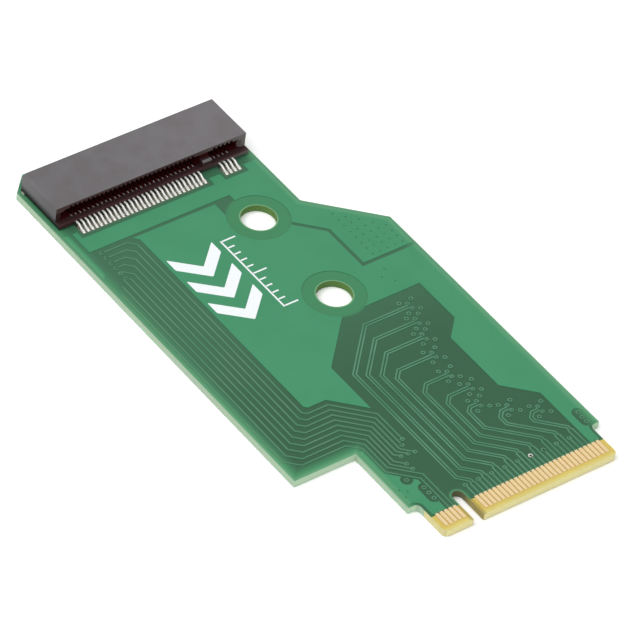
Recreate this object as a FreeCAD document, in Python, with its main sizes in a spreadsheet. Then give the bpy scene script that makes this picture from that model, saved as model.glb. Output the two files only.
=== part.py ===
import FreeCAD
import Part
import Sketcher
import math
import os

# Extension adapter for a gumstick drive: a card edge at the front plugs into a drive slot, and the socket
# at the back takes the drive one card length further on.
# Frame: X along the card edge, Y from the edge towards the socket, Z up. The origin is the middle of the
# edge at the underside.

# Driving dimensions in millimetres, one cell of the sheet each
DIMENSIONS = {
    # circuit board
    "board_thickness": 0.8,
    "copper_thickness": 0.035,
    "back_margin": 1.9,
    "tongue_margin": 0.5,
    "tongue_length": 4.1,
    "card_shoulder": 1.075,
    "tongue_corner_radius": 0.5,
    "notch_radius": 0.5,
    "shoulder_y": 35.95,
    "left_step_y": 12.0,
    "back_corner_cut": 1.9,
    "key_slot_width": 1.2,
    "key_slot_depth": 3.7,
    "hole_diameter": 3.5,
    "near_hole_y": 30.0,
    "far_hole_y": 42.0,
    # contact rows, the same in the card edge and in the socket
    "contact_pitch": 0.5,
    "odd_pins": 38,
    "even_pins": 37,
    "key_pins": 4,
    "odd_pins_past_key": 5,
    "even_pins_past_key": 4,
    "finger_width": 0.35,
    "finger_setback": 0.6,
    "finger_length": 1.75,
    # socket
    "socket_offset": 6.5,
    "socket_land_margin": 0.45,
    "socket_row_margin": 0.65,
    "socket_height": 2.1,
    "socket_hole_gap": 8.5,
    "socket_depth": 5.6,
    "socket_standoff": 0.08,
    "lip_reach": 0.7,
    "lip_thickness": 0.45,
    "lip_bar": 0.6,
    "slot_height": 0.95,
    "slot_depth": 4.1,
    "end_wall": 0.9,
    "mouth_chamfer": 0.16,
    "mouth_flare": 0.4,
    "roof_thickness": 0.25,
    "cavity_width": 0.3,
    "cavity_floor": 0.1,
    "back_slot_depth": 0.45,
    "key_rib_width": 1.05,
    "key_rib_step": 0.62,
    "key_rib_reach": 0.6,
    "key_rib_bevel": 0.12,
    "index_bevel_length": 4.6,
    "index_bevel_width": 0.46,
    "index_bevel_depth": 0.2,
    "peg_inset": 0.95,
    "peg_setback": 1.6,
    "left_peg_diameter": 1.6,
    "right_peg_diameter": 1.1,
    "peg_clearance": 0.05,
    # contacts
    "contact_thickness": 0.14,
    "contact_width": 0.22,
    "tail_reach": 1.35,
    "tail_foot": 0.45,
    "tail_slope": 0.5,
    "contact_rise": 0.4,
    "contact_clearance": 0.06,
    # pads and solder
    "pad_width": 0.29,
    "pad_length": 1.2,
    "toe_fillet": 0.15,
    "toe_fillet_height": 0.12,
    # hold-down clips
    "clip_thickness": 0.15,
    "clip_inset": 0.3,
    "clip_reach": 0.04,
    "clip_length": 0.4,
    "clip_height": 1.3,
    "clip_setback": 0.2,
    "clip_clearance": 0.03,
    "clip_pad_margin": 0.06,
    # copper artwork
    "edge_pullback": 0.3,
    "trace_clearance": 0.15,
    "hole_ring_diameter": 6.2,
    "isolation_gap": 0.38,
    "isolation_setback": 2.7,
    "socket_copper_gap": 1.0,
    "pair_trace_width": 0.15,
    "pair_spacing": 0.3,
    "bus_trace_width": 0.17,
    "bus_pitch": 0.65,
    "bus_cross_pitch": 0.6375,
    "stub_length": 1.45,
}

doc = FreeCAD.newDocument("extension_adapter")
sheet = doc.addObject("Spreadsheet::Sheet", "dims")
for row, (alias, number) in enumerate(DIMENSIONS.items(), start=1):
    sheet.set(f"A{row}", alias)
    sheet.set(f"B{row}", str(number))
    sheet.setAlias(f"B{row}", alias)
doc.recompute()

# Expressions that several pieces share
ODD_HALF = "((dims.odd_pins - 1) * dims.contact_pitch / 2)"
EVEN_HALF = "((dims.even_pins - 1) * dims.contact_pitch / 2)"
ODD_KEY = f"({ODD_HALF} - (dims.odd_pins_past_key + (dims.key_pins - 1) / 2) * dims.contact_pitch)"
EVEN_KEY = f"({EVEN_HALF} - (dims.even_pins_past_key + (dims.key_pins - 1) / 2) * dims.contact_pitch)"
KEY_OFFSET = f"(({ODD_KEY} + {EVEN_KEY}) / 2)"
TONGUE_HALF = f"({ODD_HALF} + dims.finger_width / 2 + dims.tongue_margin)"
CARD_HALF = f"({TONGUE_HALF} + dims.card_shoulder)"
FINGER_END = "(dims.finger_setback + dims.finger_length)"
SOCKET_X = "(-dims.socket_offset)"
SOCKET_HALF = f"({ODD_HALF} + dims.cavity_width / 2 + dims.socket_row_margin + dims.end_wall)"
LAND_LEFT = f"({SOCKET_X} - {SOCKET_HALF} - dims.socket_land_margin)"
LAND_RIGHT = f"({SOCKET_X} + {SOCKET_HALF} + dims.socket_land_margin)"
LAMINATE_TOP = "(dims.board_thickness - dims.copper_thickness)"
BOARD_TOP = "dims.board_thickness"
SOCKET_BASE = "(dims.board_thickness + dims.socket_standoff)"
SOCKET_TOP = "(dims.board_thickness + dims.socket_height)"
LIP_TOP = f"({SOCKET_BASE} + dims.lip_thickness)"
SLOT_TOP = f"({LIP_TOP} + dims.slot_height)"
ROOF_UNDERSIDE = f"({SOCKET_TOP} - dims.roof_thickness)"
SOCKET_FRONT = "(dims.far_hole_y + dims.socket_hole_gap)"
LIP_FRONT = f"({SOCKET_FRONT} - dims.lip_reach)"
SLOT_END = f"({SOCKET_FRONT} + dims.slot_depth)"
SOCKET_BACK = f"({SOCKET_FRONT} + dims.socket_depth)"
BOARD_END = f"({SOCKET_BACK} + dims.back_margin)"
FRONT_TOE = f"({LIP_FRONT} - dims.tail_reach)"
REAR_TOE = f"({SOCKET_BACK} + dims.tail_reach - dims.tail_foot)"
TAIL_FOOT_LEVEL = "(dims.board_thickness + dims.contact_thickness / 2)"


def value(expression):
    """An expression over the sheet as a number of millimetres."""
    return float(sheet.evalExpression(expression))


def size(alias):
    return value(f"dims.{alias}")


# Sketches and features

def new_body(name):
    body = doc.addObject("PartDesign::Body", name)
    body.Label = name
    return body


def new_sketch(body, name, plane, offset):
    """A sketch on one of the body's own origin planes, moved along that plane's normal."""
    sketch = body.newObject("Sketcher::SketchObject", name)
    support = [feature for feature in body.Origin.OriginFeatures if feature.Role == plane][0]
    sketch.AttachmentSupport = (support, [""])
    sketch.MapMode = "FlatFace"
    sketch.setExpression("AttachmentOffset.Base.z", offset)
    return sketch


def fix_point(sketch, geometry, vertex, place):
    """Ties a point of the sketch to two expressions, one for each coordinate."""
    start = sketch.getPoint(geometry, vertex)
    for kind, value, expression in zip(("DistanceX", "DistanceY"), (start.x, start.y), place):
        index = sketch.addConstraint(Sketcher.Constraint(kind, -1, 1, geometry, vertex, value))
        sketch.setExpression(f"Constraints[{index}]", expression)


def draw_path(sketch, points, closed):
    """Straight runs through the given points; the solver moves them from a circle to their places."""
    count = len(points)
    angles = [math.tau * number / (count + 1) for number in range(count)]
    start = [FreeCAD.Vector(math.cos(angle), math.sin(angle), 0) for angle in angles]
    runs = count if closed else count - 1
    for run in range(runs):
        sketch.addGeometry(Part.LineSegment(start[run], start[(run + 1) % count]), False)
    for run in range(runs if closed else runs - 1):
        sketch.addConstraint(Sketcher.Constraint("Coincident", run, 2, (run + 1) % runs, 1))
    for run in range(runs):
        fix_point(sketch, run, 1, points[run])
    if not closed:
        fix_point(sketch, runs - 1, 2, points[-1])


def polygon_sketch(body, name, plane, offset, points):
    sketch = new_sketch(body, name, plane, offset)
    draw_path(sketch, points, closed=True)
    return sketch


def rectangle(low_x, high_x, low_y, high_y):
    return [(low_x, low_y), (high_x, low_y), (high_x, high_y), (low_x, high_y)]


def circle_sketch(body, name, offset, circles):
    """Circles on the XY plane, each given as x, y and diameter."""
    sketch = new_sketch(body, name, "XY_Plane", offset)
    for index, (x, y, diameter) in enumerate(circles):
        sketch.addGeometry(Part.Circle(FreeCAD.Vector(2 * index, 0, 0), FreeCAD.Vector(0, 0, 1), 0.5), False)
        fix_point(sketch, index, 3, (x, y))
        bound = sketch.addConstraint(Sketcher.Constraint("Diameter", index, 1.0))
        sketch.setExpression(f"Constraints[{bound}]", diameter)
    return sketch


def pad(body, name, sketch, length, side="One side", backwards=False):
    feature = body.newObject("PartDesign::Pad", name)
    feature.Profile = sketch
    feature.SideType = side
    feature.Reversed = backwards
    feature.setExpression("Length", length)
    return feature


def pocket(body, name, sketch, length=None):
    """A cut to both sides of its sketch, right through where no length is given."""
    feature = body.newObject("PartDesign::Pocket", name)
    feature.Profile = sketch
    feature.SideType = "Symmetric"
    if length is None:
        feature.Type = "ThroughAll"
    else:
        feature.setExpression("Length", length)
    return feature


def row_of(body, name, feature, direction, count, backwards=False, whole=False):
    """Copies of a feature, or of the whole body, at the contact pitch."""
    pattern = body.newObject("PartDesign::LinearPattern", name)
    if whole:
        pattern.TransformMode = "Whole shape"
    else:
        pattern.Originals = [feature]
    pattern.Direction = direction
    pattern.Reversed = backwards
    pattern.setExpression("Length", f"({count} - 1) * dims.contact_pitch")
    pattern.setExpression("Occurrences", count)
    body.Tip = pattern
    return pattern


def upright_edges(shape, places):
    """Names of the vertical edges that stand at the given points of the plan."""
    names = []
    for number, edge in enumerate(shape.Edges, start=1):
        ends = [vertex.Point for vertex in edge.Vertexes]
        if len(ends) < 2 or abs(ends[0].z - ends[1].z) < 1e-6:
            continue
        for x, y in places:
            if all(math.hypot(end.x - x, end.y - y) < 1e-4 for end in ends):
                names.append(f"Edge{number}")
    return names


def round_edges(body, name, feature, places, radius):
    doc.recompute()
    fillet = body.newObject("PartDesign::Fillet", name)
    fillet.Base = (feature, upright_edges(feature.Shape, places))
    fillet.setExpression("Radius", radius)
    return fillet


def key_gap(half, past_key):
    """Distances from the centre line between which a row leaves out its key contacts."""
    near = f"({half} - ({past_key} + dims.key_pins - 0.5) * dims.contact_pitch)"
    far = f"({half} - ({past_key} - 0.5) * dims.contact_pitch)"
    return near, far


# Circuit board

def make_circuit_board():
    body = new_body("circuit_board")
    outline = [
        (f"-{TONGUE_HALF}", "0"),
        (TONGUE_HALF, "0"),
        (TONGUE_HALF, "dims.tongue_length"),
        (CARD_HALF, "dims.tongue_length"),
        (CARD_HALF, "dims.shoulder_y"),
        (LAND_RIGHT, f"dims.shoulder_y + {CARD_HALF} - {LAND_RIGHT}"),
        (LAND_RIGHT, f"{BOARD_END} - dims.back_corner_cut"),
        (f"{LAND_RIGHT} - dims.back_corner_cut", BOARD_END),
        (f"{LAND_LEFT} + dims.back_corner_cut", BOARD_END),
        (LAND_LEFT, f"{BOARD_END} - dims.back_corner_cut"),
        (LAND_LEFT, "dims.left_step_y"),
        (f"-{CARD_HALF}", "dims.left_step_y"),
        (f"-{CARD_HALF}", "dims.tongue_length"),
        (f"-{TONGUE_HALF}", "dims.tongue_length"),
    ]
    outline_sketch = polygon_sketch(body, "board_outline", "XY_Plane", "dims.copper_thickness", outline)
    laminate = pad(body, "laminate", outline_sketch, "dims.board_thickness - 2 * dims.copper_thickness")
    half = value(TONGUE_HALF)
    tips = [(-half, 0), (half, 0)]
    notches = [(-half, size("tongue_length")), (half, size("tongue_length"))]
    rounded_tips = round_edges(body, "tongue_corners", laminate, tips, "dims.tongue_corner_radius")
    round_edges(body, "notch_corners", rounded_tips, notches, "dims.notch_radius")
    slot_left = f"-{KEY_OFFSET} - dims.key_slot_width / 2"
    slot_right = f"-{KEY_OFFSET} + dims.key_slot_width / 2"
    slot_centre = "dims.key_slot_depth - dims.key_slot_width / 2"
    slot_walls = rectangle(slot_left, slot_right, "-dims.key_slot_width", slot_centre)
    pocket(body, "key_slot", polygon_sketch(body, "key_slot_walls", "XY_Plane", "0", slot_walls))
    slot_end = [(f"-{KEY_OFFSET}", slot_centre, "dims.key_slot_width")]
    pocket(body, "key_slot_end", circle_sketch(body, "key_slot_round", "0", slot_end))
    screw_holes = [("0", f"dims.{place}", "dims.hole_diameter") for place in ("near_hole_y", "far_hole_y")]
    pocket(body, "screw_holes", circle_sketch(body, "screw_hole_circles", "0", screw_holes))
    peg_holes = [(x, y, f"{diameter} + 2 * dims.peg_clearance") for x, y, diameter in peg_circles()]
    body.Tip = pocket(body, "peg_holes", circle_sketch(body, "peg_hole_circles", "0", peg_holes))
    return body


def peg_circles():
    """The socket's two locating pegs, of different size so that it fits one way round only."""
    y = f"{SOCKET_FRONT} + dims.peg_setback"
    return [
        (f"{SOCKET_X} - {SOCKET_HALF} + dims.peg_inset", y, "dims.left_peg_diameter"),
        (f"{SOCKET_X} + {SOCKET_HALF} - dims.peg_inset", y, "dims.right_peg_diameter"),
    ]


# Rows of like pieces, one for each pin

def flat_row(name, offset, height, centre, half, past_key, count, key_side, width, low_y, high_y):
    """Flat rectangles in a pin row, with the key's places left out."""
    body = new_body(name)
    first = f"{centre} - {key_side} * {half}"
    shape = rectangle(f"{first} - {width} / 2", f"{first} + {width} / 2", low_y, high_y)
    sketch = polygon_sketch(body, f"{name}_outline", "XY_Plane", offset, shape)
    single = pad(body, f"{name}_single", sketch, height)
    row_of(body, f"{name}_row", single, (sketch, ["H_Axis"]), count, backwards=key_side < 0)
    near, far = key_gap(half, past_key)
    gap = rectangle(f"{centre} + {key_side} * {near}", f"{centre} + {key_side} * {far}",
                    f"{low_y} - {width}", f"{high_y} + {width}")
    gap_sketch = polygon_sketch(body, f"{name}_key_gap", "XY_Plane", offset, gap)
    body.Tip = pocket(body, f"{name}_key_cut", gap_sketch)
    return body


def make_edge_fingers():
    low = "dims.finger_setback"
    high = FINGER_END
    top = flat_row("top_edge_fingers", LAMINATE_TOP, "dims.copper_thickness", "0", ODD_HALF,
                   "dims.odd_pins_past_key", "dims.odd_pins", -1, "dims.finger_width", low, high)
    bottom = flat_row("bottom_edge_fingers", "0", "dims.copper_thickness", "0", EVEN_HALF,
                      "dims.even_pins_past_key", "dims.even_pins", -1, "dims.finger_width", low, high)
    return [top, bottom]


def make_tail_pads():
    front_low = f"({FRONT_TOE} - dims.toe_fillet)"
    rear_high = f"({REAR_TOE} + dims.toe_fillet)"
    front = flat_row("front_tail_pads", LAMINATE_TOP, "dims.copper_thickness", SOCKET_X, EVEN_HALF,
                     "dims.even_pins_past_key", "dims.even_pins", 1, "dims.pad_width",
                     front_low, f"({front_low} + dims.pad_length)")
    rear = flat_row("rear_tail_pads", LAMINATE_TOP, "dims.copper_thickness", SOCKET_X, ODD_HALF,
                    "dims.odd_pins_past_key", "dims.odd_pins", 1, "dims.pad_width",
                    f"({rear_high} - dims.pad_length)", rear_high)
    return [front, rear]


def section_row(name, make_single, half, past_key, count, low_y, high_y):
    """A row of pieces whose section lies in the YZ plane, with the key's places left out."""
    body = new_body(name)
    first = f"{SOCKET_X} - {half}"
    sketch = make_single(body, first)
    row_of(body, f"{name}_row", None, (sketch, ["N_Axis"]), count, whole=True)
    near, far = key_gap(half, past_key)
    gap = rectangle(f"{SOCKET_X} + {near}", f"{SOCKET_X} + {far}", low_y, high_y)
    gap_sketch = polygon_sketch(body, f"{name}_key_gap", "XY_Plane", BOARD_TOP, gap)
    body.Tip = pocket(body, f"{name}_key_cut", gap_sketch)
    return body


def strip_maker(name, points, start_y):
    """A formed strip: a flat section swept along its bend line."""
    def make_single(body, first):
        spine = new_sketch(body, f"{name}_bend_line", "YZ_Plane", first)
        draw_path(spine, points, closed=False)
        half_width = "dims.contact_width / 2"
        section = rectangle(f"{first} - {half_width}", f"{first} + {half_width}",
                            f"{TAIL_FOOT_LEVEL} - dims.contact_thickness / 2",
                            f"{TAIL_FOOT_LEVEL} + dims.contact_thickness / 2")
        profile = polygon_sketch(body, f"{name}_section", "XZ_Plane", f"-{start_y}", section)
        strip = body.newObject("PartDesign::AdditivePipe", f"{name}_strip")
        strip.Profile = profile
        strip.Spine = spine
        strip.Transition = "Right corner"
        return spine
    return make_single


def make_lower_contacts():
    """Front tails; each strip runs in through the lip and rises to a bump under the card."""
    level = f"({SOCKET_BASE} + dims.cavity_floor + dims.contact_clearance + dims.contact_thickness / 2)"
    points = [
        (FRONT_TOE, TAIL_FOOT_LEVEL),
        (f"{FRONT_TOE} + dims.tail_foot", TAIL_FOOT_LEVEL),
        (f"{FRONT_TOE} + dims.tail_foot + dims.tail_slope", level),
        (f"{LIP_FRONT} + dims.slot_depth / 4", level),
        (f"{LIP_FRONT} + dims.slot_depth * 0.66", f"{level} + dims.contact_rise"),
        (f"{LIP_FRONT} + dims.slot_depth * 0.84", f"{level} + dims.contact_rise / 2"),
    ]
    maker = strip_maker("lower_contact", points, FRONT_TOE)
    return section_row("lower_contacts", maker, EVEN_HALF, "dims.even_pins_past_key", "dims.even_pins",
                       f"{FRONT_TOE} - dims.tail_reach", SOCKET_BACK)


def make_upper_contacts():
    """Rear tails; each strip climbs the back wall and reaches forward under the roof to its bump."""
    level = f"({ROOF_UNDERSIDE} - dims.contact_clearance - dims.contact_thickness / 2)"
    waist = f"({SOCKET_BASE} + dims.cavity_floor + dims.contact_thickness)"
    climb = f"({SOCKET_BACK} - dims.back_slot_depth + dims.contact_clearance + dims.contact_thickness / 2)"
    points = [
        (REAR_TOE, TAIL_FOOT_LEVEL),
        (f"{REAR_TOE} - dims.tail_foot", TAIL_FOOT_LEVEL),
        (SOCKET_BACK, waist),
        (climb, waist),
        (climb, level),
        (f"{SLOT_END} - dims.slot_depth * 0.12", level),
        (f"{SLOT_END} - dims.slot_depth * 0.52", f"{level} - dims.contact_rise - dims.contact_thickness"),
        (f"{SLOT_END} - dims.slot_depth * 0.72", f"{level} - dims.contact_rise / 2"),
    ]
    maker = strip_maker("upper_contact", points, REAR_TOE)
    return section_row("upper_contacts", maker, ODD_HALF, "dims.odd_pins_past_key", "dims.odd_pins",
                       SOCKET_FRONT, f"{REAR_TOE} + dims.tail_reach")


def wedge_maker(name, points):
    def make_single(body, first):
        sketch = polygon_sketch(body, f"{name}_section", "YZ_Plane", first, points)
        pad(body, f"{name}_wedge", sketch, "dims.contact_width", side="Symmetric")
        return sketch
    return make_single


def make_solder_joints():
    """Solder drawn up against the toe of each tail."""
    top = f"{BOARD_TOP} + dims.toe_fillet_height"
    front_toe = [(FRONT_TOE, BOARD_TOP), (FRONT_TOE, top), (f"{FRONT_TOE} - dims.toe_fillet", BOARD_TOP)]
    rear_toe = [(REAR_TOE, BOARD_TOP), (f"{REAR_TOE} + dims.toe_fillet", BOARD_TOP), (REAR_TOE, top)]
    reach = "dims.tail_reach"
    front = section_row("front_solder_joints", wedge_maker("front_joint", front_toe), EVEN_HALF,
                        "dims.even_pins_past_key", "dims.even_pins",
                        f"{FRONT_TOE} - {reach}", f"{FRONT_TOE} + {reach}")
    rear = section_row("rear_solder_joints", wedge_maker("rear_joint", rear_toe), ODD_HALF,
                       "dims.odd_pins_past_key", "dims.odd_pins",
                       f"{REAR_TOE} - {reach}", f"{REAR_TOE} + {reach}")
    return [front, rear]


# Socket housing

def make_socket_housing():
    body = new_body("socket_housing")
    front = SOCKET_FRONT
    nose = f"{SLOT_TOP} + dims.mouth_chamfer"
    section = [
        (LIP_FRONT, SOCKET_BASE),
        (SOCKET_BACK, SOCKET_BASE),
        (SOCKET_BACK, SOCKET_TOP),
        (front, SOCKET_TOP),
        (front, nose),
        (f"{front} + dims.mouth_chamfer", SLOT_TOP),
        (SLOT_END, SLOT_TOP),
        (SLOT_END, LIP_TOP),
        (LIP_FRONT, LIP_TOP),
    ]
    section_sketch = polygon_sketch(body, "housing_section", "YZ_Plane", SOCKET_X, section)
    pad(body, "housing_shell", section_sketch, f"2 * {SOCKET_HALF}", side="Symmetric")
    wall = rectangle(front, SLOT_END, LIP_TOP, SOCKET_TOP)
    for side, sign in (("left", "-"), ("right", "+")):
        outer = f"{SOCKET_X} {sign} {SOCKET_HALF}"
        wall_sketch = polygon_sketch(body, f"{side}_end_wall_section", "YZ_Plane", outer, wall)
        pad(body, f"{side}_end_wall", wall_sketch, "dims.end_wall", backwards=side == "right")
        cut_mouth_flare(body, side, sign)
    rib_x = f"{SOCKET_X} + {KEY_OFFSET}"
    rib_front = f"({front} - dims.key_rib_reach)"
    step_top = f"({LIP_TOP} + dims.key_rib_step)"
    rib = [
        (rib_front, LIP_TOP),
        (SLOT_END, LIP_TOP),
        (SLOT_END, SLOT_TOP),
        (f"{front} + dims.mouth_chamfer", SLOT_TOP),
        (f"{front} + dims.mouth_chamfer", step_top),
        (f"{rib_front} + dims.key_rib_bevel", step_top),
        (rib_front, f"{step_top} - dims.key_rib_bevel"),
    ]
    pad(body, "key_rib", polygon_sketch(body, "key_rib_section", "YZ_Plane", rib_x, rib),
        "dims.key_rib_width", side="Symmetric")
    cut_contact_cavities(body)
    cut_clip_slots(body)
    cut_index_bevel(body)
    pegs = circle_sketch(body, "peg_circles", SOCKET_BASE, peg_circles())
    peg_length = "dims.socket_standoff + dims.board_thickness - dims.peg_clearance"
    body.Tip = pad(body, "locating_pegs", pegs, peg_length, backwards=True)
    return body


def cut_mouth_flare(body, side, sign):
    """A lead-in that widens the slot towards the front, on the inner corner of one end wall."""
    flare = "dims.mouth_flare"
    corners = [
        (f"-{flare}", "0"),
        ("0", flare),
        (flare, flare),
        (flare, f"-{flare}"),
        (f"-{flare}", f"-{flare}"),
    ]
    inner = f"({SOCKET_HALF} - dims.end_wall)"
    outline = []
    for across, along in corners:
        outline.append((f"{SOCKET_X} {sign} ({inner} - ({across}))", f"{SOCKET_FRONT} + ({along})"))
    middle = f"{LIP_TOP} + dims.slot_height / 2"
    sketch = polygon_sketch(body, f"{side}_mouth_flare_outline", "XY_Plane", middle, outline)
    pocket(body, f"{side}_mouth_flare", sketch, "dims.slot_height")


def cut_contact_cavities(body):
    """A channel for every contact: upper ones under the roof and down the back, lower ones in the lip.

    A lower channel passes under the lip's front bar and opens upwards behind it.
    """
    upper = [
        (f"{SOCKET_FRONT} - dims.mouth_chamfer", f"{SLOT_TOP} - dims.mouth_chamfer"),
        (SLOT_END, f"{SLOT_TOP} - dims.mouth_chamfer"),
        (SLOT_END, SLOT_TOP),
        (f"{SOCKET_BACK} - dims.back_slot_depth", SLOT_TOP),
        (f"{SOCKET_BACK} - dims.back_slot_depth", f"{SOCKET_BASE} - dims.socket_standoff / 2"),
        (f"{SOCKET_BACK} + dims.mouth_chamfer", f"{SOCKET_BASE} - dims.socket_standoff / 2"),
        (f"{SOCKET_BACK} + dims.mouth_chamfer", ROOF_UNDERSIDE),
        (f"{SOCKET_FRONT} - dims.mouth_chamfer", ROOF_UNDERSIDE),
    ]
    before_lip = f"{LIP_FRONT} - dims.mouth_chamfer"
    bar_back = f"{LIP_FRONT} + dims.lip_bar"
    channel_end = f"{LIP_FRONT} + dims.slot_depth * 0.9"
    under_lip = f"{SOCKET_BASE} - dims.socket_standoff / 2"
    channel_floor = f"{SOCKET_BASE} + dims.cavity_floor"
    under_bar = f"{channel_floor} + dims.contact_thickness + 2 * dims.contact_clearance"
    over_lip = f"{LIP_TOP} + dims.cavity_floor"
    lower = [
        (before_lip, under_lip),
        (bar_back, under_lip),
        (bar_back, channel_floor),
        (channel_end, channel_floor),
        (channel_end, over_lip),
        (bar_back, over_lip),
        (bar_back, under_bar),
        (before_lip, under_bar),
    ]
    rows = (
        ("upper", upper, ODD_HALF, "dims.odd_pins", "dims.odd_pins_past_key"),
        ("lower", lower, EVEN_HALF, "dims.even_pins", "dims.even_pins_past_key"),
    )
    for name, section, half, pins, past_key in rows:
        groups = (
            ("wide", f"{SOCKET_X} - {half}", f"({pins} - dims.key_pins - {past_key})", False),
            ("narrow", f"{SOCKET_X} + {half}", past_key, True),
        )
        for group, first, count, backwards in groups:
            title = f"{name}_{group}"
            sketch = polygon_sketch(body, f"{title}_cavity_section", "YZ_Plane", first, section)
            cavity = pocket(body, f"{title}_cavity", sketch, "dims.cavity_width")
            row_of(body, f"{title}_cavities", cavity, (sketch, ["N_Axis"]), count, backwards)


def cut_index_bevel(body):
    """A slim bevel along the top's left end, widest at the back and running out towards the front."""
    fading = 0.04
    edge = f"{SOCKET_X} - {SOCKET_HALF}"
    bevel_end = f"({SOCKET_BACK} - dims.index_bevel_length)"
    sections = []
    for place, y, share in (("wide", SOCKET_BACK, 1), ("slim", bevel_end, fading)):
        corner = [
            (edge, SOCKET_TOP),
            (f"{edge} + dims.index_bevel_width * {share}", SOCKET_TOP),
            (edge, f"{SOCKET_TOP} - dims.index_bevel_depth * {share}"),
        ]
        sections.append(polygon_sketch(body, f"index_bevel_{place}_end", "XZ_Plane", f"-{y}", corner))
    bevel = body.newObject("PartDesign::SubtractiveLoft", "index_bevel")
    bevel.Profile = sections[0]
    bevel.Sections = sections[1:]
    bevel.Ruled = True


def clip_outline(sign, clearance):
    """L of a hold-down clip in the XZ plane: a foot on the board and a blade up inside the end wall."""
    inner = f"({SOCKET_HALF} - dims.clip_inset - dims.clip_thickness)"
    blade = f"({SOCKET_HALF} - dims.clip_inset)"
    outer = f"({SOCKET_HALF} + dims.clip_reach)"
    foot_top = f"({BOARD_TOP} + dims.clip_thickness + {clearance})"
    top = f"({BOARD_TOP} + dims.clip_height + {clearance})"
    corners = [
        (f"{inner} - {clearance}", f"{BOARD_TOP} - {clearance}"),
        (f"{outer} + {clearance}", f"{BOARD_TOP} - {clearance}"),
        (f"{outer} + {clearance}", foot_top),
        (f"{blade} + {clearance}", foot_top),
        (f"{blade} + {clearance}", top),
        (f"{inner} - {clearance}", top),
    ]
    return [(f"{SOCKET_X} {sign} ({x})", z) for x, z in corners]


CLIP_MIDDLE = f"({SOCKET_BACK} - dims.clip_setback - dims.clip_length / 2)"


def cut_clip_slots(body):
    for side, sign in (("left", "-"), ("right", "+")):
        outline = clip_outline(sign, "dims.clip_clearance")
        sketch = polygon_sketch(body, f"{side}_clip_slot_section", "XZ_Plane", f"-{CLIP_MIDDLE}", outline)
        pocket(body, f"{side}_clip_slot", sketch, "dims.clip_length + 2 * dims.clip_clearance")


def make_hold_down_clips():
    clips = []
    for side, sign in (("left", "-"), ("right", "+")):
        body = new_body(f"{side}_hold_down_clip")
        outline = clip_outline(sign, "0")
        sketch = polygon_sketch(body, f"{side}_clip_section", "XZ_Plane", f"-{CLIP_MIDDLE}", outline)
        body.Tip = pad(body, f"{side}_clip", sketch, "dims.clip_length", side="Symmetric")
        clips.append(body)
    return clips


def make_clip_pads():
    body = new_body("hold_down_pads")
    margin = "dims.clip_pad_margin"
    inner = f"({SOCKET_HALF} - dims.clip_inset - dims.clip_thickness)"
    outer = f"({SOCKET_HALF} + dims.clip_reach)"
    low = f"{CLIP_MIDDLE} - dims.clip_length / 2 - {margin}"
    high = f"{CLIP_MIDDLE} + dims.clip_length / 2 + {margin}"
    for side, sign in (("left", "-"), ("right", "+")):
        inner_x = f"{SOCKET_X} {sign} ({inner} - {margin})"
        outer_x = f"{SOCKET_X} {sign} ({outer} + {margin})"
        shape = rectangle(inner_x, outer_x, low, high)
        sketch = polygon_sketch(body, f"{side}_clip_pad_outline", "XY_Plane", LAMINATE_TOP, shape)
        body.Tip = pad(body, f"{side}_clip_pad", sketch, "dims.copper_thickness")
    return body


def make_clip_solder():
    """Solder drawn up against the outer end of each clip's foot."""
    body = new_body("hold_down_solder")
    foot_end = f"({SOCKET_HALF} + dims.clip_reach)"
    corners = [
        (foot_end, BOARD_TOP),
        (f"{foot_end} + dims.clip_pad_margin", BOARD_TOP),
        (foot_end, f"{BOARD_TOP} + dims.toe_fillet_height"),
    ]
    for side, sign in (("left", "-"), ("right", "+")):
        shape = [(f"{SOCKET_X} {sign} ({x})", z) for x, z in corners]
        sketch = polygon_sketch(body, f"{side}_clip_solder_section", "XZ_Plane", f"-{CLIP_MIDDLE}", shape)
        body.Tip = pad(body, f"{side}_clip_solder", sketch, "dims.clip_length", side="Symmetric")
    return body


# Copper artwork, drawn as flat faces at a height and given its thickness

def face_of(points, z):
    corners = [FreeCAD.Vector(x, y, z) for x, y in points]
    return Part.Face(Part.makePolygon(corners + corners[:1]))


def disc(x, y, radius, z):
    return Part.Face(Part.Wire(Part.makeCircle(radius, FreeCAD.Vector(x, y, z))))


def stadium(x, low_y, high_y, radius, z):
    walls = face_of([(x - radius, low_y), (x + radius, low_y), (x + radius, high_y), (x - radius, high_y)], z)
    return walls.fuse([disc(x, low_y, radius, z), disc(x, high_y, radius, z)]).removeSplitter()


def ribbon(points, width, z):
    """A trace of even width along a bent line, with mitred corners."""
    runs = [(b[0] - a[0], b[1] - a[1]) for a, b in zip(points, points[1:])]
    normals = [(-dy / math.hypot(dx, dy), dx / math.hypot(dx, dy)) for dx, dy in runs]
    left, right = [], []
    for index, (x, y) in enumerate(points):
        before = normals[max(index - 1, 0)]
        after = normals[min(index, len(normals) - 1)]
        share = 1 + before[0] * after[0] + before[1] * after[1]
        offset_x = (before[0] + after[0]) / share * width / 2
        offset_y = (before[1] + after[1]) / share * width / 2
        left.append((x + offset_x, y + offset_y))
        right.append((x - offset_x, y - offset_y))
    return face_of(left + right[::-1], z)


def solid_group(faces, height):
    """Each face given its thickness, as one group of separate solids."""
    solids = []
    for face in faces:
        solids += face.extrude(FreeCAD.Vector(0, 0, height)).Solids
    return Part.makeCompound(solids)


def artwork(name, shape):
    feature = doc.addObject("Part::Feature", name)
    feature.Label = name
    feature.Shape = shape
    return feature


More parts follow.
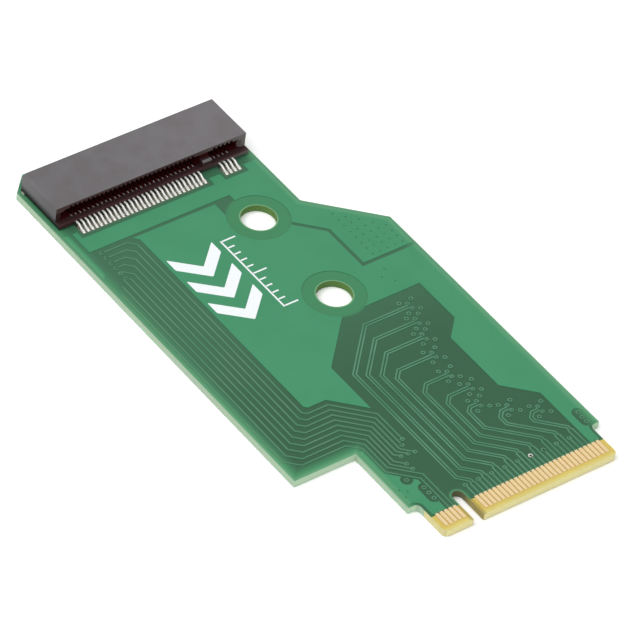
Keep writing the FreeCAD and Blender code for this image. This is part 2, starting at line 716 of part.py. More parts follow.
# Routes of the differential pairs, the one that ends nearest the key first: height of the run that leaves the
# vias above the fingers, length of that run, sideways reach of its turn, sideways shift from the lane to the
# fingers and height above the fingers where it reaches them
PAIR_ROUTES = [
    (22.80, 5.25, 4.80, 0.90, 1.75),
    (20.80, 4.90, 3.47, 1.37, 2.05),
    (18.80, 4.40, 2.20, 1.80, 2.35),
    (16.40, 4.10, 0.78, 2.28, 2.55),
    (13.67, 2.70, 0.80, 2.70, 2.65),
    (11.35, 2.48, 0.70, 3.20, 2.65),
    (9.22, 1.03, 0.45, 3.70, 2.75),
    (7.37, 0.90, 0.60, 3.10, 2.70),
    (5.80, 0.93, 0.50, 2.15, 2.65),
]
PAIR_VIA_REACH = 0.35
PAIR_SPREAD_DROP = 0.35
PINS_PER_PAIR = 3


def pair_finger_x(number):
    """Middle of the two fingers that a pair ends on."""
    fingers_right = "(dims.odd_pins - dims.odd_pins_past_key - dims.key_pins - 1)"
    beside_key = value(f"{ODD_HALF} - {fingers_right} * dims.contact_pitch")
    return beside_key + (PINS_PER_PAIR / 2 + PINS_PER_PAIR * number) * size("contact_pitch")


def pair_trace(number, side):
    """One trace of a pair; side is -1 for the outer trace and 1 for the inner one."""
    run_height, run, turn, shift, meet_height = PAIR_ROUTES[number]
    finger_x = pair_finger_x(number)
    lane_x = finger_x - shift
    turn_x = lane_x + turn
    via_x = turn_x + run
    end_y = value(FINGER_END)
    run_y = end_y + run_height
    meet_y = end_y + meet_height
    half = side * size("pair_spacing") / 2
    bend = half * math.tan(math.radians(22.5))
    finger_half = side * size("contact_pitch") / 2
    spread = abs(finger_half - half)
    return [
        (via_x, run_y - side * PAIR_VIA_REACH),
        (via_x - PAIR_VIA_REACH + abs(half), run_y - half),
        (turn_x + bend, run_y - half),
        (lane_x + half, run_y - turn - bend),
        (lane_x + half, meet_y + shift + bend),
        (finger_x + half, meet_y + bend),
        (finger_x + half, meet_y - PAIR_SPREAD_DROP),
        (finger_x + finger_half, meet_y - PAIR_SPREAD_DROP - spread),
        (finger_x + finger_half, end_y),
    ]


# Side bus, the lane nearest the board's edge first. For each lane the height above the fingers where it
# leaves its inner run and the sideways reach to its last point; the first lanes end on fingers
BUS_ENDS = [
    (6.45, 2.30),
    (6.85, 2.31),
    (6.95, 1.43),
    (7.15, 0.84),
    (7.85, 0.50),
    (8.05, 0.76),
    (8.15, 0.98),
    (8.45, 0.0),
    (9.05, 0.0),
]
LANES_TO_FINGERS = 2
LANES_FROM_EDGE_VIAS = 3
FINGERS_OUTSIDE_BUS = 3
BUS_EDGE_MARGIN = 0.58
BUS_STEP_MARGIN = 1.3
BUS_CARD_MARGIN = 0.95
BUS_PAIR_MARGIN = 1.25
BUS_TURN_INSET = -0.15
BUS_TURN_STEP = 0.22
BUS_FIRST_CORNER = 1.2
BUS_CORNER_STEP = 0.1
BUS_VIA_INSET = 2.15
BUS_VIA_SETBACK = 3.15
BUS_VIA_PITCH = 0.78
BUS_TOP_CORNER = 0.7


def bus_pair_border():
    """The line between the bus and the pairs, beside the outermost pair's lane."""
    return pair_finger_x(0) - PAIR_ROUTES[0][3] - BUS_PAIR_MARGIN


def bus_run(number):
    """A lane from beside the socket to its inner run; a number between two gives the line between them."""
    last = len(BUS_ENDS) - 1
    lane_x = value(LAND_LEFT) + BUS_EDGE_MARGIN + number * size("bus_pitch")
    cross_y = size("left_step_y") + BUS_STEP_MARGIN + number * size("bus_cross_pitch")
    first_inner = BUS_CARD_MARGIN - value(CARD_HALF)
    inner_x = first_inner + number * (bus_pair_border() - first_inner) / last
    turn_x = BUS_TURN_INSET - value(CARD_HALF) + number * BUS_TURN_STEP
    corner = BUS_FIRST_CORNER - number * BUS_CORNER_STEP
    return [
        (lane_x, cross_y + corner),
        (lane_x + corner, cross_y),
        (turn_x, cross_y),
        (inner_x, cross_y - (inner_x - turn_x)),
    ]


def bus_trace(number):
    run = bus_run(number)
    lane_x = run[0][0]
    inner_x = run[-1][0]
    via_x = value(LAND_LEFT) + BUS_VIA_INSET
    via_y = value(FRONT_TOE) - BUS_VIA_SETBACK - (len(BUS_ENDS) - 1 - number) * BUS_VIA_PITCH
    if number < LANES_FROM_EDGE_VIAS:
        start = [(lane_x, via_y + BUS_TOP_CORNER)]
    else:
        corner = min(BUS_TOP_CORNER, lane_x - via_x)
        start = [(via_x, via_y)]
        if lane_x - corner > via_x:
            start.append((lane_x - corner, via_y))
        start.append((lane_x, via_y - corner))
    leave_height, reach = BUS_ENDS[number]
    leave_y = value(FINGER_END) + leave_height
    end = [(inner_x, leave_y)]
    if number < LANES_TO_FINGERS:
        finger_x = (FINGERS_OUTSIDE_BUS + number) * size("contact_pitch") - value(ODD_HALF)
        end.append((finger_x, leave_y - (finger_x - inner_x)))
        end.append((finger_x, value(FINGER_END)))
    elif reach:
        end.append((inner_x + reach, leave_y - reach))
    return start + run + end


def ground_stub_x():
    """Fingers between the pairs, each tied to ground by a short stub."""
    to_ground = PINS_PER_PAIR / 2 * size("contact_pitch")
    return [pair_finger_x(number) - to_ground for number in range(len(PAIR_ROUTES))]


def trace_lines():
    """Every trace as its node's name, its line and its width."""
    numbers = range(len(PAIR_ROUTES))
    pairs = [pair_trace(number, side) for number in numbers for side in (-1, 1)]
    bus = [bus_trace(number) for number in range(len(BUS_ENDS))]
    low = value(FINGER_END)
    stubs = [[(x, low), (x, low + size("stub_length"))] for x in ground_stub_x()]
    return [
        ("differential_pair_traces", pairs, size("pair_trace_width")),
        ("side_bus_traces", bus, size("bus_trace_width")),
        ("ground_stub_traces", stubs, size("bus_trace_width")),
    ]


def make_traces(z):
    rings = hole_discs(size("hole_ring_diameter"), z)
    features = []
    for name, lines, width in trace_lines():
        faces = [ribbon(line, width, z).cut(rings) for line in lines]
        features.append(artwork(name, solid_group(faces, size("copper_thickness"))))
    return features


# Clear zones of the top copper, where the bare laminate shows darker through the lacquer
ZONE_DROP = 0.35
BUS_ZONE_OUTSIDE = -0.45
BUS_ZONE_INSIDE = 0.95
PAIR_ZONE_RIGHT = 0.6
PAIR_ZONE_STEP = 2.75
PAIR_ZONE_RISE = 1.65
PAIR_ZONE_BAY = 2.0
PAIR_ZONE_TOP = 2.05
PAIR_ZONE_BAY_LOW = 17.45
EDGE_STRIP = (0.8, 1.25)
EDGE_STRIP_LENGTH = 3.0
HOLE_PATCH = (-2.55, -0.55, 1.0)
ISOLATION_BEND = (2.2, 2.15)
ISOLATION_LANE_X = 4.75
ISOLATION_CROSS = 1.85
RIGHT_VIA_POCKET = (1.0, 0.65, 1.85, 0.62)
LEFT_VIA_POCKET = (2.8, -0.1, 1.3, 0.6)
ROUND_VIA_POCKET = (2.0, 2.9, 0.6)
PAD_ROOM = 0.45


def bus_zone(z):
    """Room round the whole bus, from the board's edge to a line inside its last lane."""
    last = len(BUS_ENDS) - 1
    inside = bus_run(last + BUS_ZONE_INSIDE)
    outer_x = bus_run(BUS_ZONE_OUTSIDE)[-1][0]
    edge_x = value(LAND_LEFT)
    strip_end = value(FRONT_TOE) - size("isolation_setback") - EDGE_STRIP_LENGTH
    low = value(FINGER_END) - ZONE_DROP
    high = value(FRONT_TOE) - size("isolation_setback")
    finger_x = FINGERS_OUTSIDE_BUS * size("contact_pitch") - value(ODD_HALF) - ZONE_DROP
    leave_y = value(FINGER_END) + BUS_ENDS[0][0]
    strip_x = edge_x + EDGE_STRIP[0]
    corner = BUS_TOP_CORNER
    border = [
        (strip_x, high),
        (strip_x, strip_end),
        (edge_x, strip_end - EDGE_STRIP[0]),
        (edge_x, size("left_step_y")),
        (outer_x, size("left_step_y")),
        (outer_x, leave_y),
        (finger_x, leave_y - (finger_x - outer_x)),
        (finger_x, low),
        (bus_pair_border() + ZONE_DROP, low),
        (bus_pair_border() + ZONE_DROP, inside[-1][1]),
        *inside[::-1],
        (inside[0][0], high - corner),
        (inside[0][0] - corner, high),
    ]
    return face_of(border, z)


def pair_zone(z):
    """Room round the pairs: a slanted corner on the lane side and a bay for the vias on the other."""
    end_y = value(FINGER_END)
    low = end_y - ZONE_DROP
    left = bus_pair_border() - ZONE_DROP / 4
    right = pair_finger_x(len(PAIR_ROUTES) - 1) + PAIR_ZONE_RIGHT
    top = end_y + PAIR_ROUTES[0][0] + PAIR_ZONE_TOP
    slant = PAIR_ROUTES[0][2] + PAIR_ZONE_TOP / 8
    step = end_y + PAIR_ROUTES[-1][0] + PAIR_ZONE_RISE
    bay_low = end_y + PAIR_ZONE_BAY_LOW
    border = [
        (left, low),
        (right, low),
        (right, step),
        (right - PAIR_ZONE_STEP, step + PAIR_ZONE_STEP),
        (right - PAIR_ZONE_STEP, bay_low),
        (right - PAIR_ZONE_STEP + PAIR_ZONE_BAY, bay_low + PAIR_ZONE_BAY),
        (right - PAIR_ZONE_STEP + PAIR_ZONE_BAY, top),
        (left + slant, top),
        (left, top - slant),
    ]
    return face_of(border, z)


def isolation_zones(z):
    """Gaps that part the supply copper from the ground copper, and the socket's own clear ground."""
    line_y = value(FRONT_TOE) - size("isolation_setback")
    near_y = size("near_hole_y")
    far_y = size("far_hole_y")
    bend_x, bend_drop = ISOLATION_BEND
    patch_left, patch_right, patch_rise = HOLE_PATCH
    strip_left, strip_right = (value(LAND_LEFT) + inset for inset in EDGE_STRIP)
    card = value(CARD_HALF)
    socket_y = value(LIP_FRONT) - size("socket_copper_gap")
    left, right, end = value(LAND_LEFT), value(LAND_RIGHT), value(BOARD_END)
    routes = [
        [(strip_left, line_y), (patch_right, line_y)],
        [(bend_x / 2, far_y - bend_drop / 2), (bend_x, far_y - bend_drop),
         (ISOLATION_LANE_X, far_y - bend_drop - (ISOLATION_LANE_X - bend_x)),
         (ISOLATION_LANE_X, near_y + ISOLATION_CROSS), (card, near_y + ISOLATION_CROSS)],
    ]
    zones = [ribbon(route, size("isolation_gap"), z) for route in routes]
    zones.append(face_of([(patch_left, far_y + patch_rise), (patch_right, far_y + patch_rise),
                          (patch_right, line_y), (patch_left, line_y)], z))
    zones.append(face_of([(strip_left, line_y), (strip_right, line_y),
                          (strip_right, socket_y), (strip_left, socket_y)], z))
    zones.append(face_of([(left, socket_y), (right, socket_y), (right, end), (left, end)], z))
    return zones


def via_pockets(z):
    """Small clear spots for ground vias beside the tongue."""
    card = value(CARD_HALF)
    base = size("tongue_length")
    inset, low, high, radius = RIGHT_VIA_POCKET
    right = stadium(card - inset, base + low, base + high, radius, z)
    inset, low, high, radius = LEFT_VIA_POCKET
    left = stadium(inset - card, base + low, base + high, radius, z)
    inset, rise, radius = ROUND_VIA_POCKET
    return [right, left, disc(inset - card, base + rise, radius, z)]


def clear_zones(z):
    zones = [bus_zone(z), pair_zone(z), *isolation_zones(z), *via_pockets(z)]
    zones += hole_discs(size("hole_ring_diameter"), z)
    for name, lines, width in trace_lines():
        zones += [ribbon(line, width + 2 * size("trace_clearance"), z) for line in lines]
    return zones


def hole_discs(diameter, z):
    return [disc(0, size(place), diameter / 2, z) for place in ("near_hole_y", "far_hole_y")]


def pad_rooms(pads, z):
    """A clear rectangle round each group of pads."""
    rooms = []
    for body in pads:
        boxes = sorted((solid.BoundBox for solid in body.Shape.Solids), key=lambda box: box.XMin)
        groups = [[boxes[0]]]
        for box in boxes[1:]:
            if box.XMin - groups[-1][-1].XMax > size("contact_pitch"):
                groups.append([])
            groups[-1].append(box)
        for group in groups:
            low_x, high_x = group[0].XMin - PAD_ROOM, group[-1].XMax + PAD_ROOM
            low_y, high_y = group[0].YMin - PAD_ROOM, group[0].YMax + PAD_ROOM
            rooms.append(face_of([(low_x, low_y), (high_x, low_y), (high_x, high_y), (low_x, high_y)], z))
    return rooms


def board_face(board, z):
    """The laminate's flat face at the given height."""
    def height_error(face):
        return abs(face.BoundBox.ZMax - z) + abs(face.BoundBox.ZMin - z)
    flats = [face for face in board.Shape.Faces if height_error(face) < 1e-6]
    return max(flats, key=lambda face: face.Area)


def behind_tongue(z):
    """Everything behind the bare end of the tongue, which carries no pours."""
    low = value(FINGER_END)
    reach = value(BOARD_END)
    return face_of([(-reach, low), (reach, low), (reach, 2 * reach), (-reach, 2 * reach)], z)


def pulled_back(face):
    """The board's outline drawn in by the edge pullback, with clear rings at its holes."""
    outer = Part.Face(face.OuterWire)
    inset = outer.makeOffset2D(-size("edge_pullback"), 2)
    circles = [edge.Curve for wire in face.Wires[1:] for edge in wire.Edges]
    rings = [disc(circle.Center.x, circle.Center.y, circle.Radius + size("edge_pullback"), circle.Center.z)
             for circle in circles]
    return inset.cut(rings)


def make_pours(board, pads):
    height = size("copper_thickness")
    top_z = size("board_thickness") - height
    top = pulled_back(board_face(board, top_z)).common(behind_tongue(top_z))
    top = top.cut(clear_zones(top_z) + pad_rooms(pads, top_z))
    band_y = value(FRONT_TOE) - size("isolation_setback") / 2
    beside_socket = FreeCAD.Vector(value(SOCKET_X), band_y, top_z)
    supply = [face for face in top.Faces if face.isInside(beside_socket, 1e-6, True)]
    ground = [face for face in top.Faces if not face.isInside(beside_socket, 1e-6, True)]
    bottom = pulled_back(board_face(board, height)).common(behind_tongue(height)).cut(
        hole_discs(size("hole_ring_diameter"), height))
    bottom.translate(FreeCAD.Vector(0, 0, -height))
    return [
        artwork("top_supply_pour", solid_group(supply, height)),
        artwork("top_ground_pour", solid_group(ground, height)),
        artwork("bottom_ground_pour", solid_group(bottom.Faces, height)),
    ]


# The whole adapter

def build():
    board = make_circuit_board()
    fingers = make_edge_fingers()
    pads = make_tail_pads()
    clip_pads = make_clip_pads()
    parts = [board, *fingers, *pads, clip_pads]
    parts.append(make_socket_housing())
    parts.append(make_lower_contacts())
    parts.append(make_upper_contacts())
    parts += make_hold_down_clips()
    parts.append(make_clip_solder())
    parts += make_solder_joints()
    doc.recompute()
    parts += make_traces(value(LAMINATE_TOP))
    parts += make_pours(board, [*pads, clip_pads])
    return parts


def check_and_export(parts):
    doc.recompute()
    for item in doc.Objects:
        if "Invalid" in item.State or "Error" in item.State:
            raise RuntimeError(f"{item.Label} failed: {item.State}")
    for part in parts:
        if part.Shape.isNull() or not part.Shape.isValid() or not part.Shape.Solids:
            raise RuntimeError(f"{part.Label} has no valid solid")
    os.makedirs("parts", exist_ok=True)
    for part in parts:
        part.Shape.exportStep(f"parts/{part.Label}.step")
        print(part.Label, len(part.Shape.Solids), round(part.Shape.Volume, 4))


check_and_export(build())
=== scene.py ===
import math

import bmesh
import bpy
from bpy.props import FloatProperty, FloatVectorProperty, IntProperty, PointerProperty
from mathutils import Euler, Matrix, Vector


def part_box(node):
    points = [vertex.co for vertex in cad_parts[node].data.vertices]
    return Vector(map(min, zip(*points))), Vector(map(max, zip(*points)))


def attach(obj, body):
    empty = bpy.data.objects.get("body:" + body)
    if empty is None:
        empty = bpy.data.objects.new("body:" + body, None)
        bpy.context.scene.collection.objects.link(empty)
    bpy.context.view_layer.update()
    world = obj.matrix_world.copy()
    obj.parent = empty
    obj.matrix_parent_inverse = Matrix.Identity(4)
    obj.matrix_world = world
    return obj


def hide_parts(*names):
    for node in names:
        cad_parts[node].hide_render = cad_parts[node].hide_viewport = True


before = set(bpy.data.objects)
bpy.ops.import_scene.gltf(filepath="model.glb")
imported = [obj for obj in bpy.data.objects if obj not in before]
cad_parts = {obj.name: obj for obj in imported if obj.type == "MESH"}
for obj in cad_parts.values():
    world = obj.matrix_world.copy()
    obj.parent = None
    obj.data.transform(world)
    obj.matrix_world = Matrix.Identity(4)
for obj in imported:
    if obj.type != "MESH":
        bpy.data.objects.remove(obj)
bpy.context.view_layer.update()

bl_info = {
    "name": "Extension adapter finish",
    "version": (1, 0, 0),
    "blender": (4, 5, 0),
    "location": "View3D > Sidebar > Adapter",
    "description": "Lacquer, plating, print and socket detail for a card edge extension adapter",
    "category": "Object",
}

# Lengths below are millimetres unless they come from the frame, which is in metres
MM = 0.001
BODY = "root"
BOARD_LOW, BOARD_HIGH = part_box("circuit_board")
HOUSING_LOW, HOUSING_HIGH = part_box("socket_housing")
LAMINATE_TOP = BOARD_HIGH.z / MM
POUR_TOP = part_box("top_ground_pour")[1].z / MM

# Outline of the board, for the lacquer's paler rim
LEFT_EDGE_X = BOARD_LOW.x / MM
BACK_EDGE_Y = BOARD_HIGH.y / MM
CARD_HALF = BOARD_HIGH.x / MM
STEP_Y = 12.0
SHOULDER_Y = 35.95
LAND_RIGHT_X = 4.9
HOLE_YS = (30.0, 42.0)
HOLE_RADIUS = 1.75
HOLE_RIM = 0.12
WALL_REACH = 0.03

# Tongue: its fingers, how far the lacquer laps over their ends and the gaps between them, and its key slot
TONGUE_SIDE_END_Y = 3.1
FINGER_START_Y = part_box("top_edge_fingers")[0].y / MM
FINGER_END_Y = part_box("top_edge_fingers")[1].y / MM
FINGER_LAP = 0.08
GAP_LAP = 0.23
LACQUER_START_Y = FINGER_END_Y - GAP_LAP
KEY_OFFSET = 6.125
KEY_X = -KEY_OFFSET
KEY_HALF = 0.6
KEY_DEPTH = 3.7

# Socket
SOCKET_X = (HOUSING_LOW.x + HOUSING_HIGH.x) / 2 / MM
SOCKET_HALF = (HOUSING_HIGH.x - HOUSING_LOW.x) / 2 / MM
SOCKET_TOP = HOUSING_HIGH.z / MM
SOCKET_BACK_Y = HOUSING_HIGH.y / MM
LIP_Y = HOUSING_LOW.y / MM
LIP_TOP = 1.33
LIP_REACH = 0.7
MOUTH_Y = LIP_Y + LIP_REACH
ROOF_LOW = 2.28
KEY_RIB_X = SOCKET_X + KEY_OFFSET
RIB_REACH = 0.6
RIB_FRONT_Y = MOUTH_Y - RIB_REACH

# Contact rows: first pin and count of the wide group, then of the narrow group, from the row's middle
PITCH = 0.5
LOWER_ROW = (-9.0, 29, 7.5, 4)
UPPER_ROW = (-9.25, 29, 7.25, 5)
FINGER_ROW = (-4.75, 29, -9.25, 5)
FRONT_TOE_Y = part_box("lower_contacts")[0].y / MM
REAR_TOE_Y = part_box("upper_contacts")[1].y / MM
TAIL_FOOT = 0.45

# Bends of the contacts: heights over the board's underside, then lengths along Y from bend to bend
LOWER_LEVEL, LOWER_HUMP, LOWER_TIP = 1.11, 1.51, 1.31
LOWER_SLOPE, LOWER_ARM_START, LOWER_ARM, LOWER_NOSE = 0.5, 1.025, 1.681, 0.738
UPPER_WAIST, UPPER_LEVEL, UPPER_HUMP, UPPER_TIP = 1.12, 2.52, 1.98, 2.32
UPPER_CLIMB, UPPER_BACK, UPPER_ARM, UPPER_NOSE = 0.32, 1.672, 1.64, 0.82
STRIP_EASE_ACROSS = 0.12
STRIP_EASE_UP = 0.16

# Solder round a tail's foot, its height and width as shares of the strip's
PAD_HALF = 0.145
SOLDER_HEEL = 0.5
SOLDER_HEIGHT = 0.7
SOLDER_WIDTH = 1.04
SOLDER_STEPS = 4
SOLDER_HOLLOW = 0.45
SOLDER_CORNER = 0.45

# Shares of the glow's reach: where the lacquer's tones follow each other, and how far the copper glows
RIM_STOPS = (0.0, 0.13, 0.31, 0.5, 0.75)
COPPER_GLOW = 0.42

# Where the tones of the board and its painted shade start and end
BACK_TONE_YS = (STEP_Y + 6.0, STEP_Y + 20.0)
FRONT_TONE_YS = (LACQUER_START_Y + 0.5, LACQUER_START_Y + 2.5)
TIP_TONE_YS = (0.05, FINGER_START_Y - 0.05)
KEY_GLOW_REACH = 0.35
KEY_SHADE_REACH = (0.15, 0.45)
KEY_END_YS = (KEY_DEPTH - 3 * KEY_HALF, KEY_DEPTH - KEY_HALF)
LIP_SHADOW_YS = (LIP_Y - 0.7, LIP_Y - 0.3)

# Where the tones of the socket and its painted light and shade start and end, and how deep its grey faces
# reach
SKIN = 0.1
TOP_DEPTH = 0.35
FRONT_END_Y = MOUTH_Y + 0.3
RIB_FACE_END_Y = RIB_FRONT_Y + 0.28
LIP_HIGHLIGHT_YS = (LIP_Y + 0.05, LIP_Y + 0.25)
LIP_END_Y = MOUTH_Y + 0.02
# Painted shade at the foot of the socket's ends, and painted light towards their back
FOOT_SHADOW_ZS = (POUR_TOP + 0.25, POUR_TOP + 1.15)
END_LIGHT_YS = (MOUTH_Y + 0.5, SOCKET_BACK_Y - 1.0)
LIGHT_ACROSS_XS = (SOCKET_X - SOCKET_HALF, SOCKET_X + SOCKET_HALF)
LIT_RIGHT_XS = (SOCKET_X + 0.3 * SOCKET_HALF, SOCKET_X + SOCKET_HALF)
ARM_START_YS = (MOUTH_Y + 0.22, MOUTH_Y + 0.40)
ARM_END_YS = (SOCKET_BACK_Y - 0.9, SOCKET_BACK_Y - 0.6)

# Shader values: which faces count as flat, the fibres' share of the relief, gloss and metal
FLAT_FACING = 0.5
FIBRE_SHARE = 0.6
SATIN_SPECULAR = 0.26
WELL_SPECULAR = 0.3
FLOOR_SPECULAR = 0.1
GOLD_METALLIC = 0.5

# Kinds of the inputs of a geometry tree
FLOAT, WHOLE = "NodeSocketFloat", "NodeSocketInt"


def srgb(red, green, blue):
    """A colour as eight-bit screen values, turned into the linear values that the sockets take."""
    def linear(level):
        level /= 255
        return level / 12.92 if level <= 0.04045 else ((level + 0.055) / 1.055) ** 2.4
    return linear(red), linear(green), linear(blue)


def under_gloss(red, green, blue):
    """A screen colour less the pale sheen that a glossy coat adds to it."""
    sheen = 0.028
    least = 0.004
    return tuple(max(level - sheen, least) for level in srgb(red, green, blue))


# Node trees

class Nodes:
    """Adds nodes to a tree and links them; a plain value goes straight into its socket."""

    def __init__(self, tree):
        self.tree = tree

    def add(self, kind, inputs=None, **settings):
        """A new node with its settings, and with its inputs by name or number."""
        node = self.tree.nodes.new(kind)
        for name, value in settings.items():
            setattr(node, name, value)
        for key, value in (inputs or {}).items():
            self.put(value, node.inputs[key])
        return node

    def put(self, value, socket):
        """Links a socket to another one, or gives it a plain value or colour."""
        if isinstance(value, bpy.types.NodeSocket):
            self.tree.links.new(value, socket)
        elif socket.type == "RGBA":
            socket.default_value = (*value, 1.0)
        elif socket.type == "VECTOR":
            socket.default_value = tuple(value)
        else:
            socket.default_value = value

    def math(self, operation, *values):
        """The result of one math node."""
        return self.add("ShaderNodeMath", dict(enumerate(values)), operation=operation).outputs[0]

    def chain(self, operation, first, *others):
        """The same operation over several values, from the first to the last."""
        result = first
        for value in others:
            result = self.math(operation, result, value)
        return result

    def above(self, value, level):
        """1 where a value is over a level, else 0."""
        return self.math("GREATER_THAN", value, level)

    def below(self, value, level):
        """1 where a value is under a level, else 0."""
        return self.math("LESS_THAN", value, level)

    def all_of(self, *masks):
        """1 where every mask is 1."""
        return self.chain("MULTIPLY", *masks)

    def any_of(self, *masks):
        """1 where any mask is 1."""
        return self.chain("MAXIMUM", *masks)

    def outside(self, mask):
        """1 where a mask is 0."""
        return self.math("SUBTRACT", 1.0, mask)

    def band(self, value, low, high):
        """1 where a value lies between two levels, else 0."""
        return self.all_of(self.above(value, low), self.below(value, high))

    def distance(self, value, middle):
        """How far a value is from a middle, either way."""
        return self.math("ABSOLUTE", self.math("SUBTRACT", value, middle))

    def length(self, across, along):
        """The length of a line, from its reach along two axes."""
        squares = [self.math("MULTIPLY", reach, reach) for reach in (across, along)]
        return self.math("SQRT", self.math("ADD", *squares))

    def smooth(self, value, low, high, start=0.0, end=1.0):
        """A soft step between two results, while a value goes from one level to another."""
        levels = {"Value": value, "From Min": low, "From Max": high, "To Min": start, "To Max": end}
        return self.add("ShaderNodeMapRange", levels, interpolation_type="SMOOTHSTEP").outputs["Result"]

    def vary(self, value, spread, middle=1.0):
        """A value from 0 to 1, such as a noise, turned into a small change either way from a middle."""
        return self.math("MULTIPLY_ADD", value, spread, middle - spread / 2)

    # The Mix node's inputs go by number: 0 is its factor, 2 and 3 are values, 6 and 7 are colours

    def blend(self, factor, first, second):
        """A value between two others, by a factor from 0 to 1."""
        return self.add("ShaderNodeMix", {0: factor, 2: first, 3: second}).outputs[0]

    def mix(self, factor, first, second):
        """A colour between two others, by a factor from 0 to 1."""
        return self.add("ShaderNodeMix", {0: factor, 6: first, 7: second}, data_type="RGBA").outputs[2]

    def shade(self, colour, factor):
        """A colour made lighter or darker by a factor that varies over the surface."""
        return self.add("ShaderNodeVectorMath", {0: colour, 3: factor}, operation="SCALE").outputs[0]

    def ramp(self, value, *stops):
        """Colours along a value, each stop a position from 0 to 1 and a colour."""
        node = self.add("ShaderNodeValToRGB", {0: value})
        elements = node.color_ramp.elements
        while len(elements) < len(stops):
            elements.new(1.0)
        for element, (position, colour) in zip(elements, stops):
            element.position = position
            element.color = (*colour, 1.0)
        return node.outputs[0]

    def noise(self, vector, scale, detail=2.0, roughness=0.5):
        """A soft noise from 0 to 1."""
        settings = {"Vector": vector, "Scale": scale, "Detail": detail, "Roughness": roughness}
        return self.add("ShaderNodeTexNoise", settings).outputs["Fac"]

    def patches(self, noise):
        """Soft patches from a noise."""
        return self.smooth(noise, low=0.3, high=0.7)

    def bump(self, height, depth, strength):
        """A normal from a height of 0 to 1 that stands for a depth in millimetres."""
        relief = {"Height": height, "Distance": depth * MM, "Strength": strength}
        return self.add("ShaderNodeBump", relief).outputs["Normal"]

    def shows_room(self):
        """1 for the rays that show the pale room: from the camera, off a glossy face or through glass."""
        rays = self.add("ShaderNodeLightPath").outputs
        return self.any_of(rays["Is Camera Ray"], rays["Is Glossy Ray"], rays["Is Transmission Ray"])


class Surface(Nodes):
    """A material with object coordinates in millimetres at hand."""

    def __init__(self, name):
        self.material = bpy.data.materials.new(name)
        self.material.use_nodes = True
        super().__init__(self.material.node_tree)
        self.shader = self.tree.nodes["Principled BSDF"]
        metres = self.add("ShaderNodeTexCoord").outputs["Object"]
        self.place = self.shade(metres, 1 / MM)
        self.x, self.y, self.z = self.add("ShaderNodeSeparateXYZ", {0: self.place}).outputs

    def stretched(self, x, y, z):
        """The place scaled by axis, for grain that runs one way."""
        scales = {0: self.place, 1: (x, y, z)}
        return self.add("ShaderNodeVectorMath", scales, operation="MULTIPLY").outputs[0]

    def facing(self):
        """How far the surface faces along X, Y and Z, each from -1 to 1."""
        normal = self.add("ShaderNodeNewGeometry").outputs["Normal"]
        return self.add("ShaderNodeSeparateXYZ", {0: normal}).outputs

    def turned(self, facing):
        """1 where the surface faces along an axis, softly down to 0 where it faces away."""
        return self.smooth(facing, low=0.25, high=0.75)

    def beside_row(self, middle_x, row):
        """1 along X beside the pins of either group of a contact row, else 0."""
        wide_start, wide_count, narrow_start, narrow_count = row
        bands = []
        for start, count in ((wide_start, wide_count), (narrow_start, narrow_count)):
            low = middle_x + start - PITCH / 2
            bands.append(self.band(self.x, low, low + count * PITCH))
        return self.any_of(*bands)

    def finish(self, **sockets):
        """Gives the shader its colour, gloss and normal, and returns the material."""
        names = {"colour": "Base Color", "metallic": "Metallic", "roughness": "Roughness",
                 "specular": "Specular IOR Level", "normal": "Normal"}
        for key, value in sockets.items():
            self.put(value, self.shader.inputs[names[key]])
        return self.material


# Materials

def rim_distance(surface):
    """Millimetres from a point of the board's top to the nearest cut edge."""
    x, y = surface.x, surface.y
    from_left = surface.math("SUBTRACT", x, LEFT_EDGE_X)
    past_step = surface.math("SUBTRACT", y, STEP_Y)
    from_step = surface.math("MAXIMUM", past_step, surface.math("ADD", x, CARD_HALF))
    from_card = surface.math("SUBTRACT", CARD_HALF, x)
    before_shoulder = surface.math("SUBTRACT", SHOULDER_Y, y)
    slant = surface.math("MULTIPLY", surface.math("ADD", from_card, before_shoulder), math.sqrt(0.5))
    from_land = surface.math("SUBTRACT", LAND_RIGHT_X, x)
    from_right = surface.math("MINIMUM", from_card, surface.math("MAXIMUM", from_land, slant))
    from_back = surface.math("SUBTRACT", BACK_EDGE_Y, y)
    return surface.chain("MINIMUM", from_left, from_step, from_right, from_back)


def hole_distance(surface):
    """Millimetres from a point of the board's top to the rim of the nearest screw hole."""
    rims = []
    for hole_y in HOLE_YS:
        from_middle = surface.length(surface.x, surface.math("SUBTRACT", surface.y, hole_y))
        rims.append(surface.math("SUBTRACT", from_middle, HOLE_RADIUS))
    return surface.chain("MINIMUM", *rims)


def key_distance(surface):
    """Millimetres from a point of the tongue to the wall of the key slot."""
    across = surface.math("SUBTRACT", surface.x, KEY_X)
    past_middle = surface.math("MAXIMUM", surface.math("SUBTRACT", surface.y, KEY_DEPTH - KEY_HALF), 0.0)
    return surface.math("SUBTRACT", surface.length(across, past_middle), KEY_HALF)


def weave_height(surface, thread):
    """Over and under of woven glass threads, as a height from 0 to 1."""
    turn = math.pi / thread
    along = surface.math("SINE", surface.math("MULTIPLY", surface.x, turn))
    across = surface.math("SINE", surface.math("MULTIPLY", surface.y, turn))
    return surface.math("MULTIPLY_ADD", surface.math("MULTIPLY", along, across), 0.5, 0.5)


